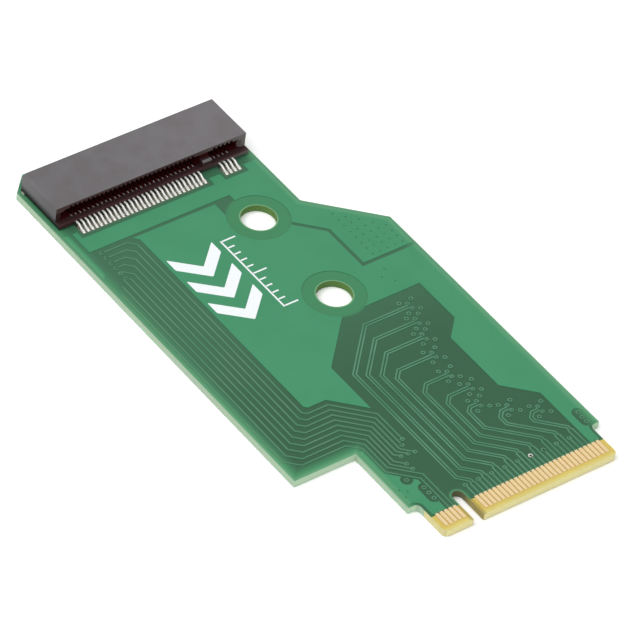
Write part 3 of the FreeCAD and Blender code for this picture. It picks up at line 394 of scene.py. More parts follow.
def lacquer_on_laminate(surface, look, cloud):
    """Green lacquer, paler where light leaks in from a cut edge, and even round the screw holes."""
    inwards = surface.math("DIVIDE", rim_distance(surface), look.glow_reach / MM)
    tones = (look.lacquer_glow, look.lacquer_rim, look.lacquer_leak, look.lacquer_fade,
             look.lacquer_on_laminate)
    lacquer = surface.ramp(inwards, *zip(RIM_STOPS, tones))
    towards_back = surface.smooth(surface.y, *BACK_TONE_YS, start=0.0, end=0.35)
    lacquer = surface.mix(towards_back, lacquer, look.trace)
    near_fingers = surface.smooth(surface.y, *FRONT_TONE_YS, start=0.4, end=0.0)
    lacquer = surface.mix(near_fingers, lacquer, look.lacquer_fade)
    ring = surface.smooth(hole_distance(surface), look.hole_ring / MM, look.hole_ring_fade / MM,
                          start=1.0, end=0.0)
    lacquer = surface.mix(ring, lacquer, look.lacquer_leak)
    key_rim = surface.smooth(key_distance(surface), 0.0, KEY_GLOW_REACH, start=0.8, end=0.0)
    lacquer = surface.mix(key_rim, lacquer, look.lacquer_rim)
    return surface.shade(lacquer, surface.vary(cloud, spread=0.10))


def bare_tongue(surface, look, cloud, weave):
    """Yellowish resin and glass at the end of the tongue, with painted shade beside the key slot, and
    browner between the fingers, partly the resin's own tone and partly painted shade.
    """
    bare = surface.mix(weave, look.bare_laminate, look.bare_thread)
    near_tip = surface.smooth(surface.y, *TIP_TONE_YS, start=1.0, end=0.0)
    bare = surface.mix(near_tip, bare, look.bare_tip)
    bare = surface.shade(bare, surface.vary(cloud, spread=0.16))
    # Painted shade on the bare tongue beside the key slot
    key_slot_shadow = surface.smooth(key_distance(surface), *KEY_SHADE_REACH, start=0.65, end=1.0)
    bare = surface.shade(bare, key_slot_shadow)
    among_fingers = surface.all_of(surface.beside_row(0.0, FINGER_ROW),
                                   surface.above(surface.y, FINGER_START_Y))
    # Between the fingers the resin is browner, partly its own tone and partly painted shade of the fingers'
    # sides
    gap_tone_and_shading = surface.math("MULTIPLY", among_fingers, look.gap_tone_and_shade)
    return surface.mix(gap_tone_and_shading, bare, look.finger_gap)


def pad_windows(surface, look):
    """1 in the openings of the lacquer between the pads of both contact rows, else 0."""
    margin = look.window_margin / MM
    front = surface.all_of(surface.beside_row(SOCKET_X, LOWER_ROW),
                           surface.band(surface.y, FRONT_TOE_Y - margin, LIP_Y))
    rear = surface.all_of(surface.beside_row(SOCKET_X, UPPER_ROW),
                          surface.band(surface.y, SOCKET_BACK_Y, REAR_TOE_Y + margin))
    return surface.any_of(front, rear)


def cut_sides(surface, look, fibres):
    """Sawn sides with their glass layers, yellower at the tongue, with painted shade that darkens the sides
    facing left and makes the walls of the holes and the key slot olive.
    """
    sheets = surface.noise(surface.stretched(0.05, 0.05, 9.0), scale=1.0, detail=1.0)
    layers = surface.smooth(sheets, low=0.35, high=0.65, end=0.5)
    # The pale sawn sides are partly the bare glass and partly painted light shining out through the laminate
    cut = surface.mix(layers, look.cut_edge, look.cut_thread)
    cut = surface.mix(surface.below(surface.y, TONGUE_SIDE_END_Y), cut, look.tongue_side)
    # Painted shade: the sawn sides that face left are darker
    left_side_shade = surface.smooth(surface.facing()[0], low=-0.75, high=-0.25, start=0.72, end=1.0)
    cut = surface.shade(cut, left_side_shade)
    # Painted shade: the walls of the screw holes and the key slot are darker olive, deepest at the slot's
    # round end
    in_hole = surface.below(hole_distance(surface), WALL_REACH)
    cut = surface.mix(in_hole, cut, look.hole_wall_shade)
    in_key = surface.below(key_distance(surface), WALL_REACH)
    key_slot_shade = surface.mix(surface.smooth(surface.y, *KEY_END_YS), look.key_slot_shade, look.key_end_shade)
    cut = surface.mix(in_key, cut, key_slot_shade)
    return surface.shade(cut, surface.vary(fibres, spread=0.5))


def laminate_material(look):
    """Glass-fibre board: lacquered on its faces, bare at the tongue's end, pale where it was cut."""
    surface = Surface("lacquered_laminate")
    flat = surface.above(surface.math("ABSOLUTE", surface.facing()[2]), FLAT_FACING)
    cloud = surface.noise(surface.place, scale=0.35, detail=3.0)
    weave = weave_height(surface, look.thread_width / MM)
    fibres = surface.noise(surface.stretched(1.2, 1.2, 14.0), scale=1.6, detail=4.0, roughness=0.65)
    past_lacquer = surface.below(surface.y, LACQUER_START_Y)
    at_rim = surface.below(hole_distance(surface), HOLE_RIM)
    in_window = pad_windows(surface, look)
    lacquer = lacquer_on_laminate(surface, look, cloud)
    top = surface.mix(past_lacquer, lacquer, bare_tongue(surface, look, cloud, weave))
    # Painted shadow: the pad windows darken towards the socket's lip, where its shade falls on the board
    lip_shadow = surface.smooth(surface.y, *LIP_SHADOW_YS, start=1.0, end=0.25)
    top = surface.mix(in_window, top, surface.shade(look.window, lip_shadow))
    top = surface.mix(at_rim, top, look.hole_rim)
    covered = surface.all_of(flat, surface.outside(surface.any_of(past_lacquer, at_rim, in_window)))
    rough_cut = surface.vary(fibres, spread=0.2, middle=0.75)
    gloss = surface.vary(cloud, spread=0.08, middle=look.lacquer_roughness)
    height = surface.blend(FIBRE_SHARE, weave, fibres)
    return surface.finish(colour=surface.mix(flat, cut_sides(surface, look, fibres), top),
                          roughness=surface.blend(covered, rough_cut, gloss), specular=SATIN_SPECULAR,
                          normal=surface.bump(height, depth=0.006, strength=0.5))


def copper_material(name, look, green, green_thin):
    """Lacquer over copper: lighter than on the laminate, with a faint orange peel."""
    surface = Surface(name)
    cloud = surface.noise(surface.place, scale=0.28, detail=3.0)
    peel = surface.noise(surface.place, scale=5.0)
    colour = surface.mix(surface.patches(cloud), green, green_thin)
    reach = COPPER_GLOW * look.glow_reach / MM
    glow = surface.smooth(rim_distance(surface), 0.0, reach, start=0.8, end=0.0)
    colour = surface.mix(glow, colour, look.lacquer_glow)
    colour = surface.shade(colour, surface.vary(peel, spread=0.06))
    gloss = surface.vary(cloud, spread=0.08, middle=look.lacquer_roughness)
    return surface.finish(colour=colour, roughness=gloss, specular=SATIN_SPECULAR,
                          normal=surface.bump(peel, depth=0.004, strength=0.5))


def drawn_metal(surface, colour, shadow, roughness, grain, grain_scale):
    """The tone of scratched metal, with the gloss and normal that go with it."""
    streaks = surface.noise(surface.stretched(*grain), grain_scale, detail=3.0, roughness=0.6)
    tone = surface.mix(surface.smooth(streaks, low=0.3, high=0.75), colour, shadow)
    gloss = surface.vary(streaks, spread=0.2, middle=roughness)
    return tone, {"roughness": gloss, "normal": surface.bump(streaks, depth=0.004, strength=0.4)}


def metal_material(name, colour, shadow, metallic, roughness, grain, grain_scale):
    """Plated or bare metal with fine scratches; a dull plating scatters part of its light."""
    surface = Surface(name)
    tone, sockets = drawn_metal(surface, colour, shadow, roughness, grain, grain_scale)
    return surface.finish(colour=tone, metallic=metallic, **sockets)


def gold_material(look):
    """Gold plating of the fingers, with the lacquer lapping over their inner ends."""
    surface = Surface("gold_plating")
    tone, sockets = drawn_metal(surface, look.gold, look.gold_shadow, roughness=0.4,
                                grain=(8.0, 0.7, 8.0), grain_scale=2.2)
    lapped = surface.above(surface.y, FINGER_END_Y - FINGER_LAP)
    return surface.finish(colour=surface.mix(lapped, tone, look.trace),
                          metallic=surface.blend(lapped, GOLD_METALLIC, 0.0), **sockets)


def contact_material(look):
    """Spring metal, tinned at the tails, with painted shade that darkens the arms inside the socket to a
    dark red-brown.
    """
    surface = Surface("contact_metal")
    tone, sockets = drawn_metal(surface, look.metal, look.metal_shadow, roughness=0.35,
                                grain=(9.0, 1.0, 1.0), grain_scale=3.0)
    behind_lip = surface.smooth(surface.y, *ARM_START_YS)
    before_back = surface.smooth(surface.y, *ARM_END_YS, start=1.0, end=0.0)
    # Painted shade: the arms inside the socket are darkened where its shade falls, between the bright bits
    # behind the lip and the back
    arm = surface.all_of(behind_lip, before_back)
    return surface.finish(colour=surface.mix(arm, tone, look.arm_shade), metallic=0.4, **sockets)


def housing_faces(surface, lit_right):
    """Masks of the housing's ends, of its front, and of all its grey faces; the rest takes the painted shade
    of the lip and the mouth.
    """
    across, along, upwards = surface.facing()
    level = surface.turned(upwards)
    forwards = surface.turned(surface.math("MULTIPLY", along, -1.0))
    before_mouth = surface.below(surface.y, FRONT_END_Y)
    on_top = surface.all_of(level, surface.above(surface.z, SOCKET_TOP - TOP_DEPTH))
    at_end = surface.all_of(surface.turned(surface.math("ABSOLUTE", across)),
                            surface.above(surface.distance(surface.x, SOCKET_X), SOCKET_HALF - SKIN))
    at_back = surface.all_of(surface.turned(along), surface.above(surface.y, SOCKET_BACK_Y - SKIN))
    on_rib = surface.all_of(surface.below(surface.distance(surface.x, KEY_RIB_X), KEY_HALF), before_mouth,
                            surface.band(surface.z, LIP_TOP + SKIN, ROOF_LOW))
    # The rib's top step takes the grey plastic; its upper block behind takes the lip's painted shade
    rib_face = surface.all_of(on_rib, level, surface.below(surface.y, RIB_FACE_END_Y))
    # Below the roof, only the fronts at the right end take the painted light of the grey front; those
    # further left take the lip's painted shade
    roof_or_right = surface.any_of(surface.above(surface.z, ROOF_LOW), lit_right)
    in_front = surface.all_of(forwards, before_mouth, roof_or_right, surface.outside(on_rib))
    return at_end, in_front, surface.any_of(on_top, at_end, at_back, in_front, rib_face)


def greyed_plastic(surface, look, cloud, grain, lit_right, at_end, in_front):
    """Plastic of the grey faces, with painted shade on the ends, darkest at their foot, and on the front,
    and painted light that pales the plastic to the right, the ends to the back and the front at the right
    end.
    """
    greyed = surface.mix(surface.patches(cloud), look.plastic, look.plastic_cloud)
    # Painted light: the grey plastic a little darker at the left end and paler at the right
    greyed = surface.shade(greyed, surface.smooth(surface.x, *LIGHT_ACROSS_XS, start=0.93, end=1.07))
    # Painted shade and light on the ends: much darker towards the foot, where the board meets them, and
    # paler towards the back
    foot_shadow = surface.smooth(surface.z, *FOOT_SHADOW_ZS, start=0.03, end=1.0)
    end_light_to_back = surface.smooth(surface.y, *END_LIGHT_YS, start=0.97, end=1.3)
    end = surface.shade(look.plastic_end_shade, surface.math("MULTIPLY", foot_shadow, end_light_to_back))
    greyed = surface.mix(at_end, greyed, end)
    # Painted shade and light on the fronts: browner than the top, paler and greyer at the right end
    front = surface.mix(lit_right, look.plastic_front_shade, look.plastic_front_lit_right)
    greyed = surface.mix(in_front, greyed, front)
    return surface.shade(greyed, surface.vary(grain, spread=0.25, middle=0.995))


def plastic_material(look):
    """Dark moulded plastic: grey outside, with painted shade that makes the lip browner and the mouth deep
    red-black, and a painted highlight on the lip's front edge.
    """
    surface = Surface("moulded_plastic")
    cloud = surface.noise(surface.place, scale=0.45, detail=3.0, roughness=0.6)
    grain = surface.noise(surface.place, scale=22.0)
    lit_right = surface.smooth(surface.x, *LIT_RIGHT_XS)
    at_end, in_front, greyed_faces = housing_faces(surface, lit_right)
    greyed = greyed_plastic(surface, look, cloud, grain, lit_right, at_end, in_front)
    # Painted highlight along the lip's front top edge
    lip_highlight = surface.smooth(surface.y, *LIP_HIGHLIGHT_YS, start=1.7, end=1.0)
    lip = surface.shade(look.plastic_lip_shade, lip_highlight)
    # Painted shade: the lip, the lower wall fronts at the left, the rib's upper block and the mouth's inside
    # take dark colours, with the same roughness as the grey
    glossy = surface.mix(surface.below(surface.y, LIP_END_Y), look.plastic_mouth_shade, lip)
    return surface.finish(colour=surface.mix(greyed_faces, glossy, greyed),
                          roughness=surface.vary(cloud, spread=0.12, middle=0.5), specular=SATIN_SPECULAR,
                          normal=surface.bump(grain, depth=0.004, strength=0.6))


def print_material(look):
    """White legend ink, a little uneven where the screen laid it."""
    surface = Surface("legend_ink")
    screen = surface.noise(surface.place, scale=6.0, detail=3.0, roughness=0.6)
    colour = surface.mix(surface.smooth(screen, low=0.35, high=0.75), look.ink, look.ink_thin)
    return surface.finish(colour=colour, roughness=surface.vary(screen, spread=0.2, middle=0.55),
                          normal=surface.bump(screen, depth=0.004, strength=0.5))


def via_material(look):
    """Lacquer on a via's ring, between the tones of copper and laminate."""
    surface = Surface("via_copper")
    cloud = surface.noise(surface.place, scale=2.0)
    colour = surface.mix(surface.patches(cloud), look.via_ring, look.trace_thin)
    return surface.finish(colour=colour, roughness=surface.vary(cloud, spread=0.2, middle=0.45),
                          specular=SATIN_SPECULAR)


def well_material(name, colour, thinner):
    """Lacquer sunk into a drilled via, darker than the copper round it."""
    surface = Surface(name)
    cloud = surface.noise(surface.place, scale=3.0)
    return surface.finish(colour=surface.mix(cloud, colour, thinner),
                          roughness=surface.vary(cloud, spread=0.2, middle=0.45), specular=WELL_SPECULAR)


def paint(mesh, material):
    """Gives a mesh one material in place of any it has."""
    mesh.materials.clear()
    mesh.materials.append(material)


# Meshes

def new_piece(name, mesh, slot, *replaced):
    """A finished mesh as a piece of the object."""
    piece = bpy.data.objects.new(name, mesh)
    bpy.context.scene.collection.objects.link(piece)
    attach(piece, BODY)
    if replaced:
        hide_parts(*replaced)


def mesh_from(build, name):
    """The mesh of what was built."""
    mesh = bpy.data.meshes.new(name)
    build.to_mesh(mesh)
    build.free()
    return mesh


def raised_mesh(name, outlines, low_z, high_z, rounding=0.0):
    """Flat outlines in millimetres, given thickness from one height to another."""
    build = bmesh.new()
    for outline in outlines:
        build.faces.new([build.verts.new((x * MM, y * MM, low_z * MM)) for x, y in outline])
    if rounding:
        bmesh.ops.bevel(build, geom=build.verts[:], offset=rounding * MM, segments=4, profile=0.5,
                        affect="VERTICES", clamp_overlap=True)
    grown = bmesh.ops.extrude_face_region(build, geom=build.faces[:])
    raised = [item for item in grown["geom"] if isinstance(item, bmesh.types.BMVert)]
    bmesh.ops.translate(build, verts=raised, vec=(0, 0, (high_z - low_z) * MM))
    bmesh.ops.recalc_face_normals(build, faces=build.faces[:])
    return mesh_from(build, name)


def skinned_mesh(name, rings):
    """A closed skin over rings of places in millimetres, from the first ring to the last."""
    build = bmesh.new()
    loops = [[build.verts.new([length * MM for length in place]) for place in ring] for ring in rings]
    for first, second in zip(loops, loops[1:]):
        for index in range(len(first)):
            following = (index + 1) % len(first)
            build.faces.new((first[index], first[following], second[following], second[index]))
    build.faces.new(loops[0])
    build.faces.new(loops[-1])
    bmesh.ops.recalc_face_normals(build, faces=build.faces[:])
    return mesh_from(build, name)


def holder_for(name, mesh):
    """An object that carries a mesh while its modifiers work."""
    holder = bpy.data.objects.new(f"{name}_holder", mesh)
    bpy.context.scene.collection.objects.link(holder)
    return holder


def evaluated_mesh(holder, name):
    """The holder with its modifiers worked in, as a plain mesh; the holder goes."""
    depsgraph = bpy.context.evaluated_depsgraph_get()
    mesh = bpy.data.meshes.new_from_object(holder.evaluated_get(depsgraph))
    mesh.name = name
    bpy.data.objects.remove(holder)
    return mesh


def geometry_tree(name, sockets):
    """An empty geometry tree with its named inputs; returns it with its nodes, inputs and output."""
    tree = bpy.data.node_groups.new(name, "GeometryNodeTree")
    tree.interface.new_socket("Geometry", in_out="INPUT", socket_type="NodeSocketGeometry")
    for label, kind in sockets.items():
        tree.interface.new_socket(label, in_out="INPUT", socket_type=kind)
    tree.interface.new_socket("Geometry", in_out="OUTPUT", socket_type="NodeSocketGeometry")
    nodes = Nodes(tree)
    return tree, nodes, nodes.add("NodeGroupInput").outputs, nodes.add("NodeGroupOutput").inputs[0]


def repeat_shape(nodes, points, shape, material, result):
    """Ends a tree with a shape on every point, made real and given its material."""
    copies = nodes.add("GeometryNodeInstanceOnPoints", {"Points": points, "Instance": shape})
    solid = nodes.add("GeometryNodeRealizeInstances", {0: copies.outputs[0]})
    painted = nodes.add("GeometryNodeSetMaterial", {"Geometry": solid.outputs[0], "Material": material})
    nodes.put(painted.outputs[0], result)


def run_tree(name, mesh, tree, values):
    """Runs a geometry tree on a mesh and returns the plain result."""
    holder = holder_for(name, mesh)
    modifier = holder.modifiers.new(name, "NODES")
    modifier.node_group = tree
    for item in tree.interface.items_tree:
        if item.in_out == "INPUT" and item.name in values:
            modifier[item.identifier] = values[item.name]
    return evaluated_mesh(holder, name)


def pin_row_tree(name, material):
    """Repeats one pin's piece along both groups of a contact row."""
    tree, nodes, given, result = geometry_tree(name, {
        "Wide Start": FLOAT, "Wide Count": WHOLE, "Narrow Start": FLOAT, "Narrow Count": WHOLE,
        "Pitch": FLOAT})
    step = nodes.add("ShaderNodeCombineXYZ", {"X": given["Pitch"]}).outputs[0]
    places = nodes.add("GeometryNodeJoinGeometry")
    for group in ("Wide", "Narrow"):
        start = nodes.add("ShaderNodeCombineXYZ", {"X": given[f"{group} Start"]}).outputs[0]
        line = nodes.add("GeometryNodeMeshLine", {"Count": given[f"{group} Count"],
                                                  "Start Location": start, "Offset": step})
        nodes.put(line.outputs[0], places.inputs[0])
    repeat_shape(nodes, places.outputs[0], given["Geometry"], material, result)
    return tree


def ring_tree(name, material):
    """Sets a flat ring of copper on every point of a mesh."""
    tree, nodes, given, result = geometry_tree(name, {
        "Radius": FLOAT, "Width": FLOAT, "Height": FLOAT, "Sides": WHOLE})
    loop = nodes.add("GeometryNodeCurvePrimitiveCircle",
                     {"Resolution": given["Sides"], "Radius": given["Radius"]})
    edge = nodes.add("GeometryNodeCurvePrimitiveQuadrilateral",
                     {"Width": given["Width"], "Height": given["Height"]})
    ring = nodes.add("GeometryNodeCurveToMesh", {0: loop.outputs[0], 1: edge.outputs[0]})
    repeat_shape(nodes, given["Geometry"], ring.outputs[0], material, result)
    return tree


def dot_tree(name, material):
    """Sets a shallow lens on every point of a mesh."""
    tree, nodes, given, result = geometry_tree(name, {"Radius": FLOAT, "Height": FLOAT, "Sides": WHOLE})
    lens = nodes.add("GeometryNodeMeshCone", {"Vertices": given["Sides"], "Radius Top": 0.0,
                                              "Radius Bottom": given["Radius"], "Depth": given["Height"]})
    repeat_shape(nodes, given["Geometry"], lens.outputs[0], material, result)
    return tree


def pin_row(name, mesh, material, row):
    """One pin's piece, repeated along a contact row of the socket."""
    wide_start, wide_count, narrow_start, narrow_count = row
    values = {"Wide Start": (SOCKET_X + wide_start) * MM, "Wide Count": wide_count,
              "Narrow Start": (SOCKET_X + narrow_start) * MM, "Narrow Count": narrow_count,
              "Pitch": PITCH * MM}
    return run_tree(name, mesh, pin_row_tree(name, material), values)


def point_mesh(name, places, z):
    """Loose points at one height, for a tree to set shapes on."""
    mesh = bpy.data.meshes.new(name)
    mesh.from_pydata([(x * MM, y * MM, z * MM) for x, y in places], [], [])
    return mesh


def rounded_line(points, radius, steps=4):
    """A bent line with an arc at every inner corner."""
    most = 0.45
    line = [Vector(points[0])]
    for before, corner, after in zip(points, points[1:], points[2:]):
        corner = Vector(corner)
        inwards, onwards = Vector(before) - corner, Vector(after) - corner
        room = most * min(inwards.length, onwards.length)
        inwards.normalize()
        onwards.normalize()
        reach = min(radius / math.tan(inwards.angle(onwards) / 2), room)
        start, end = corner + inwards * reach, corner + onwards * reach
        for step in range(steps + 1):
            share = step / steps
            line.append((1 - share) ** 2 * start + 2 * share * (1 - share) * corner + share ** 2 * end)
    line.append(Vector(points[-1]))
    return line


def strip_mesh(name, points, thickness, width, radius):
    """A formed metal strip across X, bent along points in the YZ plane, with eased edges."""
    line = rounded_line(points, radius)
    half = width / 2
    eased = half - width * STRIP_EASE_ACROSS
    rings = []
    for index, place in enumerate(line):
        before = line[max(index - 1, 0)]
        after = line[min(index + 1, len(line) - 1)]
        run = (after - before).normalized()
        side = Vector((-run.y, run.x)) * thickness / 2
        high, low = place + side, place - side
        inset = (high - low) * STRIP_EASE_UP
        outline = [(-eased, high), (eased, high), (half, high - inset), (half, low + inset),
                   (eased, low), (-eased, low), (-half, low + inset), (-half, high - inset)]
        rings.append([(x, *corner) for x, corner in outline])
    return skinned_mesh(name, rings)


def solder_mesh(name, toe_y, heel_y, pad_end_y, foot_width, foot_height):
    """A meniscus round a tail's foot, hollow-sided, from the pad up to the foot's edge."""
    outwards = math.copysign(1.0, toe_y - heel_y)
    rings = []
    for step in range(SOLDER_STEPS + 1):
        share = step / SOLDER_STEPS
        hug = share ** SOLDER_HOLLOW
        half = PAD_HALF + (foot_width / 2 - PAD_HALF) * hug
        end = pad_end_y + (toe_y - pad_end_y) * hug
        corner = half * SOLDER_CORNER
        shoulder = end - outwards * corner
        outline = [(-half, heel_y), (-half, shoulder), (corner - half, end), (half - corner, end),
                   (half, shoulder), (half, heel_y)]
        rings.append([(x, y, POUR_TOP + foot_height * share) for x, y in outline])
    mesh = skinned_mesh(name, rings)
    for face in mesh.polygons:
        face.use_smooth = True
    return mesh


# Vias: those of the pairs, with four ground vias round each, then of the stubs, the side bus and the pours
PAIR_VIAS = [(5.15, 25.15), (4.50, 23.15), (3.80, 21.15), (3.10, 18.75), (2.80, 16.02), (3.48, 13.70),
             (2.78, 11.57), (4.90, 9.72), (7.28, 8.15)]
PAIR_REACH = 0.35
GROUND_REACH = (0.69, 0.76)
STUB_START = (-4.75, 3.8)
STUB_STEP = 3 * PITCH
STUB_COUNT = 9
STUB_VIAS = [(STUB_START[0] + STUB_STEP * number, STUB_START[1]) for number in range(STUB_COUNT)]
BARE_STUB = 5
BRIGHT_VIAS = [STUB_VIAS[BARE_STUB]]
OPEN_WELLS = [STUB_VIAS[BARE_STUB], STUB_VIAS[BARE_STUB + 1]]
BUS_START = (-15.75, 45.3)
BUS_STEP = 0.78
BUS_COUNT = 6
BUS_START_VIAS = [(BUS_START[0], BUS_START[1] - BUS_STEP * number) for number in range(BUS_COUNT)]
BUS_END_VIAS = [(-7.65, 7.87), (-7.75, 8.66), (-7.6, 9.7), (-6.85, 9.64), (-6.15, 9.52), (-6.64, 10.8),
                (-6.15, 11.4)]
GRID_XS = (6.4, 7.25, 8.15, 9.05, 9.95)
GRID_YS = (38.95, 38.0, 37.1, 36.1, 35.2, 34.3, 33.5, 32.6)
GRID_MARGIN = 1.0
POUR_DOTS = [(6.1, 30.4), (5.25, 29.6), (6.05, 28.6), (-10.4, 6.3), (-9.8, 5.8), (-10.4, 5.3)]
POCKET_VIAS = [(10.0, 4.7), (10.0, 5.35), (10.05, 6.0), (-8.2, 3.95), (-8.2, 4.7), (-8.2, 5.45),
               (-9.0, 7.0)]


def open_vias():
    """Vias on bare laminate, which show as pale rings."""
    places = BUS_START_VIAS + BUS_END_VIAS + POCKET_VIAS
    across, along = GROUND_REACH
    for x, y in PAIR_VIAS:
        places += [(x, y - PAIR_REACH), (x, y + PAIR_REACH)]
        places += [(x + side * across, y + way * along) for side in (-1, 1) for way in (-1, 1)]
    places += STUB_VIAS
    return [place for place in places if place not in BRIGHT_VIAS]


def covered_vias():
    """Vias under the pours, which show as small dark dots."""
    limit = SHOULDER_Y + CARD_HALF - GRID_MARGIN
    return [(x, y) for x in GRID_XS for y in GRID_YS if x + y < limit] + POUR_DOTS


# Print: the tip of the first direction mark, and the rule's line
MARK_TIP = (-8.5, 30.9)
RULE_X = -5.2
RULE_YS = (31.0, 41.0)
TICK_GAP = 1.3
LONG_EVERY = 5


def chevron(tip_x, tip_y, span, depth, stroke):
    """A bold V that points towards the card edge."""
    half = span / 2
    rise = stroke * math.hypot(half, depth) / half
    return [(tip_x, tip_y), (tip_x + half, tip_y + depth), (tip_x + half, tip_y + depth + rise),
            (tip_x, tip_y + rise), (tip_x - half, tip_y + depth + rise), (tip_x - half, tip_y + depth)]


def bar(low_x, high_x, low_y, high_y):
    """A plain oblong."""
    return [(low_x, low_y), (high_x, low_y), (high_x, high_y), (low_x, high_y)]


def ruler(line, short_tick, long_tick):
    """A plain rule with a tick every millimetre and a longer one every fifth."""
    low_y, high_y = RULE_YS
    shapes = [bar(RULE_X, RULE_X + line, low_y - line / 2, high_y + line / 2)]
    tick_x = RULE_X + line * TICK_GAP
    for tick in range(round(high_y - low_y) + 1):
        reach = short_tick if tick % LONG_EVERY else long_tick
        y = low_y + tick
        shapes.append(bar(tick_x, tick_x + reach, y - line / 2, y + line / 2))
    return shapes


# Settings

class BoardLook(bpy.types.PropertyGroup):
    """Finishes of the board, its copper and its print"""
    lacquer_on_copper: FloatVectorProperty(
        name="Lacquer on copper", description="Green over the pours and traces", subtype="COLOR",
        default=under_gloss(77, 146, 108))
    lacquer_thin: FloatVectorProperty(
        name="Lacquer, thinner", description="Green where the lacquer lies thinner", subtype="COLOR",
        default=under_gloss(80, 149, 111))
    lacquer_on_laminate: FloatVectorProperty(
        name="Lacquer on laminate", description="Darker green between the copper", subtype="COLOR",
        default=under_gloss(66, 101, 78))
    lacquer_fade: FloatVectorProperty(
        name="Lacquer, far from an edge", description="Green where the last leaked light fades",
        subtype="COLOR", default=under_gloss(72, 117, 88))
    lacquer_leak: FloatVectorProperty(
        name="Lacquer, near an edge", description="Green where light leaks through the laminate",
        subtype="COLOR", default=under_gloss(76, 137, 99))
    lacquer_rim: FloatVectorProperty(
        name="Lacquer at an edge", description="Brighter green beside a cut edge", subtype="COLOR",
        default=under_gloss(95, 154, 114))
    lacquer_glow: FloatVectorProperty(
        name="Edge glow", description="Brightest green, right at a cut edge", subtype="COLOR",
        default=under_gloss(116, 170, 132))
    trace: FloatVectorProperty(
        name="Lacquer on traces", description="Greyer green over the narrow traces", subtype="COLOR",
        default=under_gloss(84, 133, 105))
    trace_thin: FloatVectorProperty(
        name="Lacquer on traces, thinner", description="Traces where the lacquer lies thinner",
        subtype="COLOR", default=under_gloss(99, 147, 120))
    bus_trace: FloatVectorProperty(
        name="Lacquer on the side bus", description="Duller green over the side bus", subtype="COLOR",
        default=under_gloss(96, 137, 109))
    glow_reach: FloatProperty(
        name="Glow reach", description="How far light leaks in from a cut edge", unit="LENGTH",
        default=2.0 * MM)
    hole_ring: FloatProperty(
        name="Hole ring", description="Even green round a screw hole, from its rim", unit="LENGTH",
        default=1.15 * MM)
    hole_ring_fade: FloatProperty(
        name="Hole ring fade", description="Where the green round a screw hole has faded", unit="LENGTH",
        default=1.6 * MM)
    window: FloatVectorProperty(
        name="Pad window", description="Bare laminate between the socket's pads", subtype="COLOR",
        default=srgb(104, 108, 88))
    window_margin: FloatProperty(
        name="Window margin", description="Bare laminate past the pads' tails", unit="LENGTH",
        default=0.15 * MM)
    lacquer_roughness: FloatProperty(
        name="Lacquer roughness", description="Gloss of the lacquer", subtype="FACTOR", default=0.42)
    bare_laminate: FloatVectorProperty(
        name="Bare laminate", description="Resin at the end of the tongue", subtype="COLOR",
        default=srgb(209, 186, 92))
    bare_thread: FloatVectorProperty(
        name="Bare thread", description="Glass threads in the bare resin", subtype="COLOR",
        default=srgb(214, 191, 100))
    bare_tip: FloatVectorProperty(
        name="Bare tip", description="Resin at the tongue's front edge", subtype="COLOR",
        default=srgb(219, 205, 128))
    # The finger gap's brown is partly the resin's own and partly painted shade of the fingers' sides
    finger_gap: FloatVectorProperty(
        name="Finger gap", description="Resin between the contact fingers", subtype="COLOR",
        default=srgb(192, 151, 92))
    gap_tone_and_shade: FloatProperty(
        name="Gap stain", description="How much of its own tone the resin has between the fingers",
        subtype="FACTOR", default=0.8)
    thread_width: FloatProperty(
        name="Thread width", description="Width of a woven glass thread", unit="LENGTH",
        default=0.42 * MM)
    # The sawn sides' pale colours are partly the bare glass and partly painted light shining out through the
    # laminate
    cut_edge: FloatVectorProperty(
        name="Cut edge", description="Sawn sides of the board", subtype="COLOR",
        default=srgb(195, 232, 195))
    cut_thread: FloatVectorProperty(
        name="Cut thread", description="Glass layers in the sawn sides", subtype="COLOR",
        default=srgb(200, 200, 188))
    tongue_side: FloatVectorProperty(
        name="Tongue side", description="Sides of the bare tongue", subtype="COLOR",
        default=srgb(249, 239, 174))
    # Painted shade: the walls inside the holes and the key slot are darker than the outer sawn sides
    hole_wall_shade: FloatVectorProperty(
        name="Hole wall", description="Drilled and milled inner walls", subtype="COLOR",
        default=srgb(94, 131, 66))
    key_slot_shade: FloatVectorProperty(
        name="Key wall", description="Walls of the key slot near the tongue's tip", subtype="COLOR",
        default=srgb(165, 150, 92))
    key_end_shade: FloatVectorProperty(
        name="Key end", description="Walls of the key slot at its round end", subtype="COLOR",
        default=srgb(105, 108, 78))
    hole_rim: FloatVectorProperty(
        name="Hole rim", description="Bare laminate round a hole", subtype="COLOR",
        default=srgb(114, 163, 118))
    gold: FloatVectorProperty(
        name="Gold plating", description="Contact fingers", subtype="COLOR", default=srgb(236, 213, 165))
    gold_shadow: FloatVectorProperty(
        name="Gold shadow", description="Contact fingers in their scratches", subtype="COLOR",
        default=srgb(228, 200, 150))
    tin: FloatVectorProperty(
        name="Tin plating", description="Solder pads", subtype="COLOR", default=srgb(147, 149, 136))
    tin_shadow: FloatVectorProperty(
        name="Tin shadow", description="Solder pads where they are dull", subtype="COLOR",
        default=srgb(119, 122, 109))
    via_ring: FloatVectorProperty(
        name="Via ring", description="Lacquer on the rings of the vias", subtype="COLOR",
        default=under_gloss(86, 135, 106))
    bare_ring: FloatVectorProperty(
        name="Bare ring", description="Metal of a via that the lacquer leaves bare", subtype="COLOR",
        default=srgb(236, 240, 232))
    via_well: FloatVectorProperty(
        name="Via well", description="Lacquer sunk into a via", subtype="COLOR",
        default=under_gloss(60, 88, 68))
